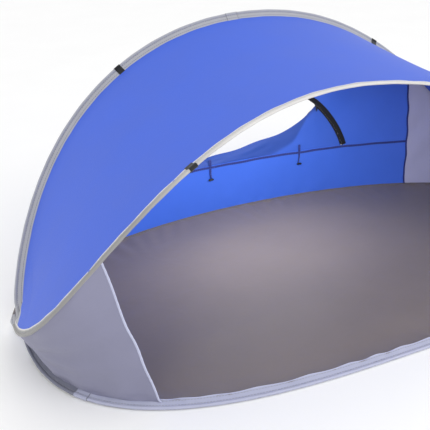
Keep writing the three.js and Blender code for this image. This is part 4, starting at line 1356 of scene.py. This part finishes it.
def build_ties():
    for word, side in SIDES:
        x = side * TIE_SIDE
        z = np.linspace(SEAM_HEIGHT + 0.003, SEAM_HEIGHT + 0.037, 13)
        line = wall_points(np.full(13, x), z, 0.0044)
        line[-2:, 1] += 0.0018
        loop = ribbon(f"tie_loop_webbing_{word}", line, np.tile([1.0, 0.0, 0.0], (13, 1)),
                      TIE_LOOP_WIDTH, WEBBING_THICKNESS, "navy")
        fit_piece(loop, "ridge_arch", f"tie_loop_{word}")
        t = np.linspace(0, 1, 25)
        z = SEAM_HEIGHT - 0.001 - TIE_DROP * t
        y = float(wall_y(TIE_SIDE, SEAM_HEIGHT - 0.001)) - 0.0046 - 0.0012 * np.sin(t * 7) * t
        strap_line = np.stack([x + 0.0022 * t * np.sin(t * 5) * side, np.broadcast_to(y, t.shape), z],
                              axis=-1)
        twist = np.stack([np.cos(t * 0.9), np.sin(t * 0.9), np.zeros(25)], axis=-1)
        strap = ribbon(f"tie_strap_webbing_{word}", strap_line, twist, TIE_WIDTH, WEBBING_THICKNESS, "navy")
        fit_piece(strap, f"tie_{word}", f"tie_strap_{word}")
        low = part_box(f"tie_toggle_{word}")
        centre = (Vector(low[0]) + Vector(low[1])) / 2
        toggle = turned_toggle(f"tie_toggle_bead_{word}")
        tilt = Matrix.Rotation(math.radians(6 if side > 0 else -3), 4, "Y")
        settle(toggle, Matrix.Translation(centre) @ tilt)
        fit_piece(toggle, f"tie_{word}", f"tie_toggle_{word}")


def turned_toggle(name):
    """A barrel toggle: a bar with domed ends and a waist where the strap goes round it."""
    obj = new_primitive(name, bpy.ops.mesh.primitive_cylinder_add, vertices=28, radius=0.0046, depth=0.022)
    bpy.ops.object.mode_set(mode="EDIT")
    shape = bmesh.from_edit_mesh(obj.data)
    for cut in (-0.0070, -0.0030, 0.0, 0.0030, 0.0070):
        bpy.ops.mesh.select_all(action="SELECT")
        bpy.ops.mesh.bisect(plane_co=(0, 0, cut), plane_no=(0, 0, 1))
    bpy.ops.mesh.select_all(action="DESELECT")
    shape = bmesh.from_edit_mesh(obj.data)
    for vertex in shape.verts:
        if abs(vertex.co.z) < 0.0005:
            vertex.co.x *= 0.84
            vertex.co.y *= 0.84
        elif abs(vertex.co.z) > 0.0105:
            vertex.co.x *= 0.78
            vertex.co.y *= 0.78
    bmesh.update_edit_mesh(obj.data)
    bpy.ops.object.mode_set(mode="OBJECT")
    obj.data.transform(Matrix.Rotation(math.pi / 2, 4, "Y"))
    round_edges(obj, 0.0009, 3, 35)
    return finish_piece(obj, FINISHES["plastic"], 40)


# ------------------------------------------------------------------ operators

def rails_now(context):
    return make_rails(context.scene.shelter_sizes)


class SHELTER_OT_finishes(bpy.types.Operator):
    """Make every finish of the shelter and give the steel wires theirs"""
    bl_idname = "shelter.finishes"
    bl_label = "Finishes and wires"

    def execute(self, context):
        make_finishes(context.scene.shelter_colours)
        for name in ("ridge_wire", "front_ground_wire", "lip_wire", "rear_ground_wire",
                     "loop_a_ferrule", "loop_b_ferrule"):
            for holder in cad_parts[name].material_slots:
                holder.material = FINISHES["steel"]
        return {"FINISHED"}


class SHELTER_OT_sleeves(bpy.types.Operator):
    """Sew the four sleeves round the two loops, with a cuff at each corner"""
    bl_idname = "shelter.sleeves"
    bl_label = "Sleeves and corner cuffs"

    def execute(self, context):
        rails = rails_now(context)
        build_sleeve("ridge", rails["ridge"], "ridge_arch", "tape", 1.0)
        build_sleeve("front_ground", rails["front_ground"], "front_hoop", "pale", 2.0,
                     0.0026)
        build_sleeve("lip", rails["lip"], "lip_arch", "lip", 3.0)
        build_sleeve("rear_ground", rails["rear_ground"], "root", "rear", 4.0)
        for word, side in SIDES:
            corner_cuff(side, word)
        return {"FINISHED"}


class SHELTER_OT_tabs(bpy.types.Operator):
    """Sew the webbing tabs and the sleeve joints round the sleeves"""
    bl_idname = "shelter.tabs"
    bl_label = "Tabs and sleeve joints"

    def execute(self, context):
        rails = rails_now(context)
        for word, side in SIDES:
            build_band(f"ridge_webbing_{word}", rails["ridge"], side * RIDGE_TAB_X, RIDGE_TAB, "ridge_arch",
                       "webbing", f"ridge_tab_{word}", 0.0018)
            build_band(f"lip_webbing_{word}", rails["lip"], side * LIP_TAB_X, LIP_TAB, "lip_arch",
                       "webbing", f"lip_tab_{word}", 0.0022)
        build_band("ridge_joint_cloth", rails["ridge"], RIDGE_JOINT_X, JOINT, "ridge_arch",
                   "joint", "ridge_sleeve_joint", 0.0011)
        build_band("front_joint_cloth", rails["front_ground"], FRONT_JOINT_X, JOINT, "front_hoop",
                   "pale_joint", "front_sleeve_joint", 0.0011)
        return {"FINISHED"}


class SHELTER_OT_roof(bpy.types.Operator):
    """Stretch the roof between the ridge arch and the lip arch"""
    bl_idname = "shelter.roof"
    bl_label = "Roof"

    def execute(self, context):
        build_roof(rails_now(context), context.scene.shelter_sizes)
        return {"FINISHED"}


class SHELTER_OT_walls(bpy.types.Operator):
    """Hang the rear wall and its two grey ends, with the bound seams"""
    bl_idname = "shelter.walls"
    bl_label = "Rear wall and seams"

    def execute(self, context):
        build_walls(context.scene.shelter_sizes)
        build_seams()
        return {"FINISHED"}


class SHELTER_OT_window(bpy.types.Operator):
    """Fit the window's zip, slider and pull, and its slumped flap"""
    bl_idname = "shelter.window"
    bl_label = "Window flap and zip"

    def execute(self, context):
        build_zip(context.scene.shelter_sizes)
        return {"FINISHED"}


class SHELTER_OT_floor(bpy.types.Operator):
    """Lay the floor between the front and rear hoops"""
    bl_idname = "shelter.floor"
    bl_label = "Floor"

    def execute(self, context):
        build_floor(rails_now(context), context.scene.shelter_sizes)
        return {"FINISHED"}


class SHELTER_OT_gussets(bpy.types.Operator):
    """Fill the corners in between the lip arch and the front hoop"""
    bl_idname = "shelter.gussets"
    bl_label = "Gussets and hems"

    def execute(self, context):
        build_gussets(rails_now(context), context.scene.shelter_sizes)
        return {"FINISHED"}


class SHELTER_OT_ties(bpy.types.Operator):
    """Sew on the two ties under the window, with their loops and toggles"""
    bl_idname = "shelter.ties"
    bl_label = "Ties and toggles"

    def execute(self, context):
        build_ties()
        return {"FINISHED"}


# Each light's name, place, target, size in metres and power in watts. The last one stands inside the
# shelter, for the daylight that comes through the roof's cloth.
LIGHTS = (("key", (1.7, -3.2, 3.8), (0, 0, 0.2), (2.6, 2.6), 26),
          ("front", (0.8, -2.9, 0.75), (-0.35, 0.45, 0.2), (2.4, 0.9), 20),
          ("through_roof", (-0.15, 0.06, 0.50), (-0.18, 0.30, 0.0), (0.8, 0.24), 4.3))
SKY_STRENGTH = 1.04


def area_light(name, place, target, size, energy):
    data = bpy.data.lights.new(name, "AREA")
    data.shape = "RECTANGLE"
    data.size, data.size_y = size
    data.energy = energy
    obj = bpy.data.objects.new(name, data)
    obj.location = place
    obj.rotation_euler = (Vector(target) - Vector(place)).to_track_quat("-Z", "Y").to_euler()
    obj.visible_camera = False
    bpy.context.collection.objects.link(obj)


class SHELTER_OT_stage(bpy.types.Operator):
    """Set out the pale floor, the soft studio light and the camera"""
    bl_idname = "shelter.stage"
    bl_label = "Stage, light and camera"

    def execute(self, context):
        scene = context.scene
        ground = new_primitive("studio_floor", bpy.ops.mesh.primitive_plane_add, size=60,
                               location=(0, 0, -0.0008))
        material, tree, shader = new_material("Painted studio floor",
                                              {"Specular IOR Level": 0.15, "Roughness": 0.9})
        place = add_node(tree, "TexCoord", out="Object")
        grain = add_node(tree, "TexNoise", (), {"Scale": 2.0, "Detail": 3.0, "Vector": place}, "Fac")
        tone = lay_colours(tree, linear("F6F6F6"), [(grain, linear("FAFAFA"))])
        tree.links.new(tone, shader.inputs["Base Color"])
        ground.data.materials.append(material)

        world = bpy.data.worlds.new("Studio")
        scene.world = world
        world.use_nodes = True
        sky = world.node_tree.nodes["Background"]
        sky.inputs["Color"].default_value = (1, 1, 1, 1)
        sky.inputs["Strength"].default_value = SKY_STRENGTH
        for light in LIGHTS:
            area_light(*light)

        c = CAMERA
        azimuth, elevation = math.radians(c["azimuth"]), math.radians(c["elevation"])
        away = Vector((math.sin(azimuth) * math.cos(elevation), -math.cos(azimuth) * math.cos(elevation),
                       math.sin(elevation)))
        data = bpy.data.cameras.new("camera")
        camera = bpy.data.objects.new("camera", data)
        scene.collection.objects.link(camera)
        camera.location = Vector(c["target"]) + away * c["distance"]
        camera.rotation_euler = (-away).to_track_quat("-Z", "Y").to_euler()
        data.sensor_width = c["sensor"]
        data.lens = c["lens"]
        data.shift_x, data.shift_y = c["shift"]
        data.clip_start = 0.05
        scene.camera = camera
        scene.view_settings.view_transform = "Standard"
        return {"FINISHED"}


class SHELTER_PT_panel(bpy.types.Panel):
    """Everything that builds the shelter"""
    bl_idname = "SHELTER_PT_panel"
    bl_label = "Beach shelter"
    bl_space_type = "VIEW_3D"
    bl_region_type = "UI"
    bl_category = "Shelter"

    def draw(self, context):
        column = self.layout.column()
        for operator in OPERATORS:
            column.operator(operator.bl_idname)
        for group in (context.scene.shelter_sizes, context.scene.shelter_colours):
            box = self.layout.box()
            for key in group.__annotations__:
                box.prop(group, key)


OPERATORS = (SHELTER_OT_stage, SHELTER_OT_finishes, SHELTER_OT_sleeves, SHELTER_OT_tabs, SHELTER_OT_roof,
             SHELTER_OT_walls, SHELTER_OT_window, SHELTER_OT_floor, SHELTER_OT_gussets, SHELTER_OT_ties)
CLASSES = (ShelterSizes, ShelterColours, *OPERATORS, SHELTER_PT_panel)


def register():
    for kind in CLASSES:
        bpy.utils.register_class(kind)
    bpy.types.Scene.shelter_sizes = bpy.props.PointerProperty(type=ShelterSizes)
    bpy.types.Scene.shelter_colours = bpy.props.PointerProperty(type=ShelterColours)


def unregister():
    del bpy.types.Scene.shelter_colours
    del bpy.types.Scene.shelter_sizes
    for kind in reversed(CLASSES):
        bpy.utils.unregister_class(kind)


def main():
    register()
    for operator in OPERATORS:
        group, name = operator.bl_idname.split(".")
        getattr(getattr(bpy.ops, group), name)()
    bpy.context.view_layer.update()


if __name__ == "__main__":
    main()
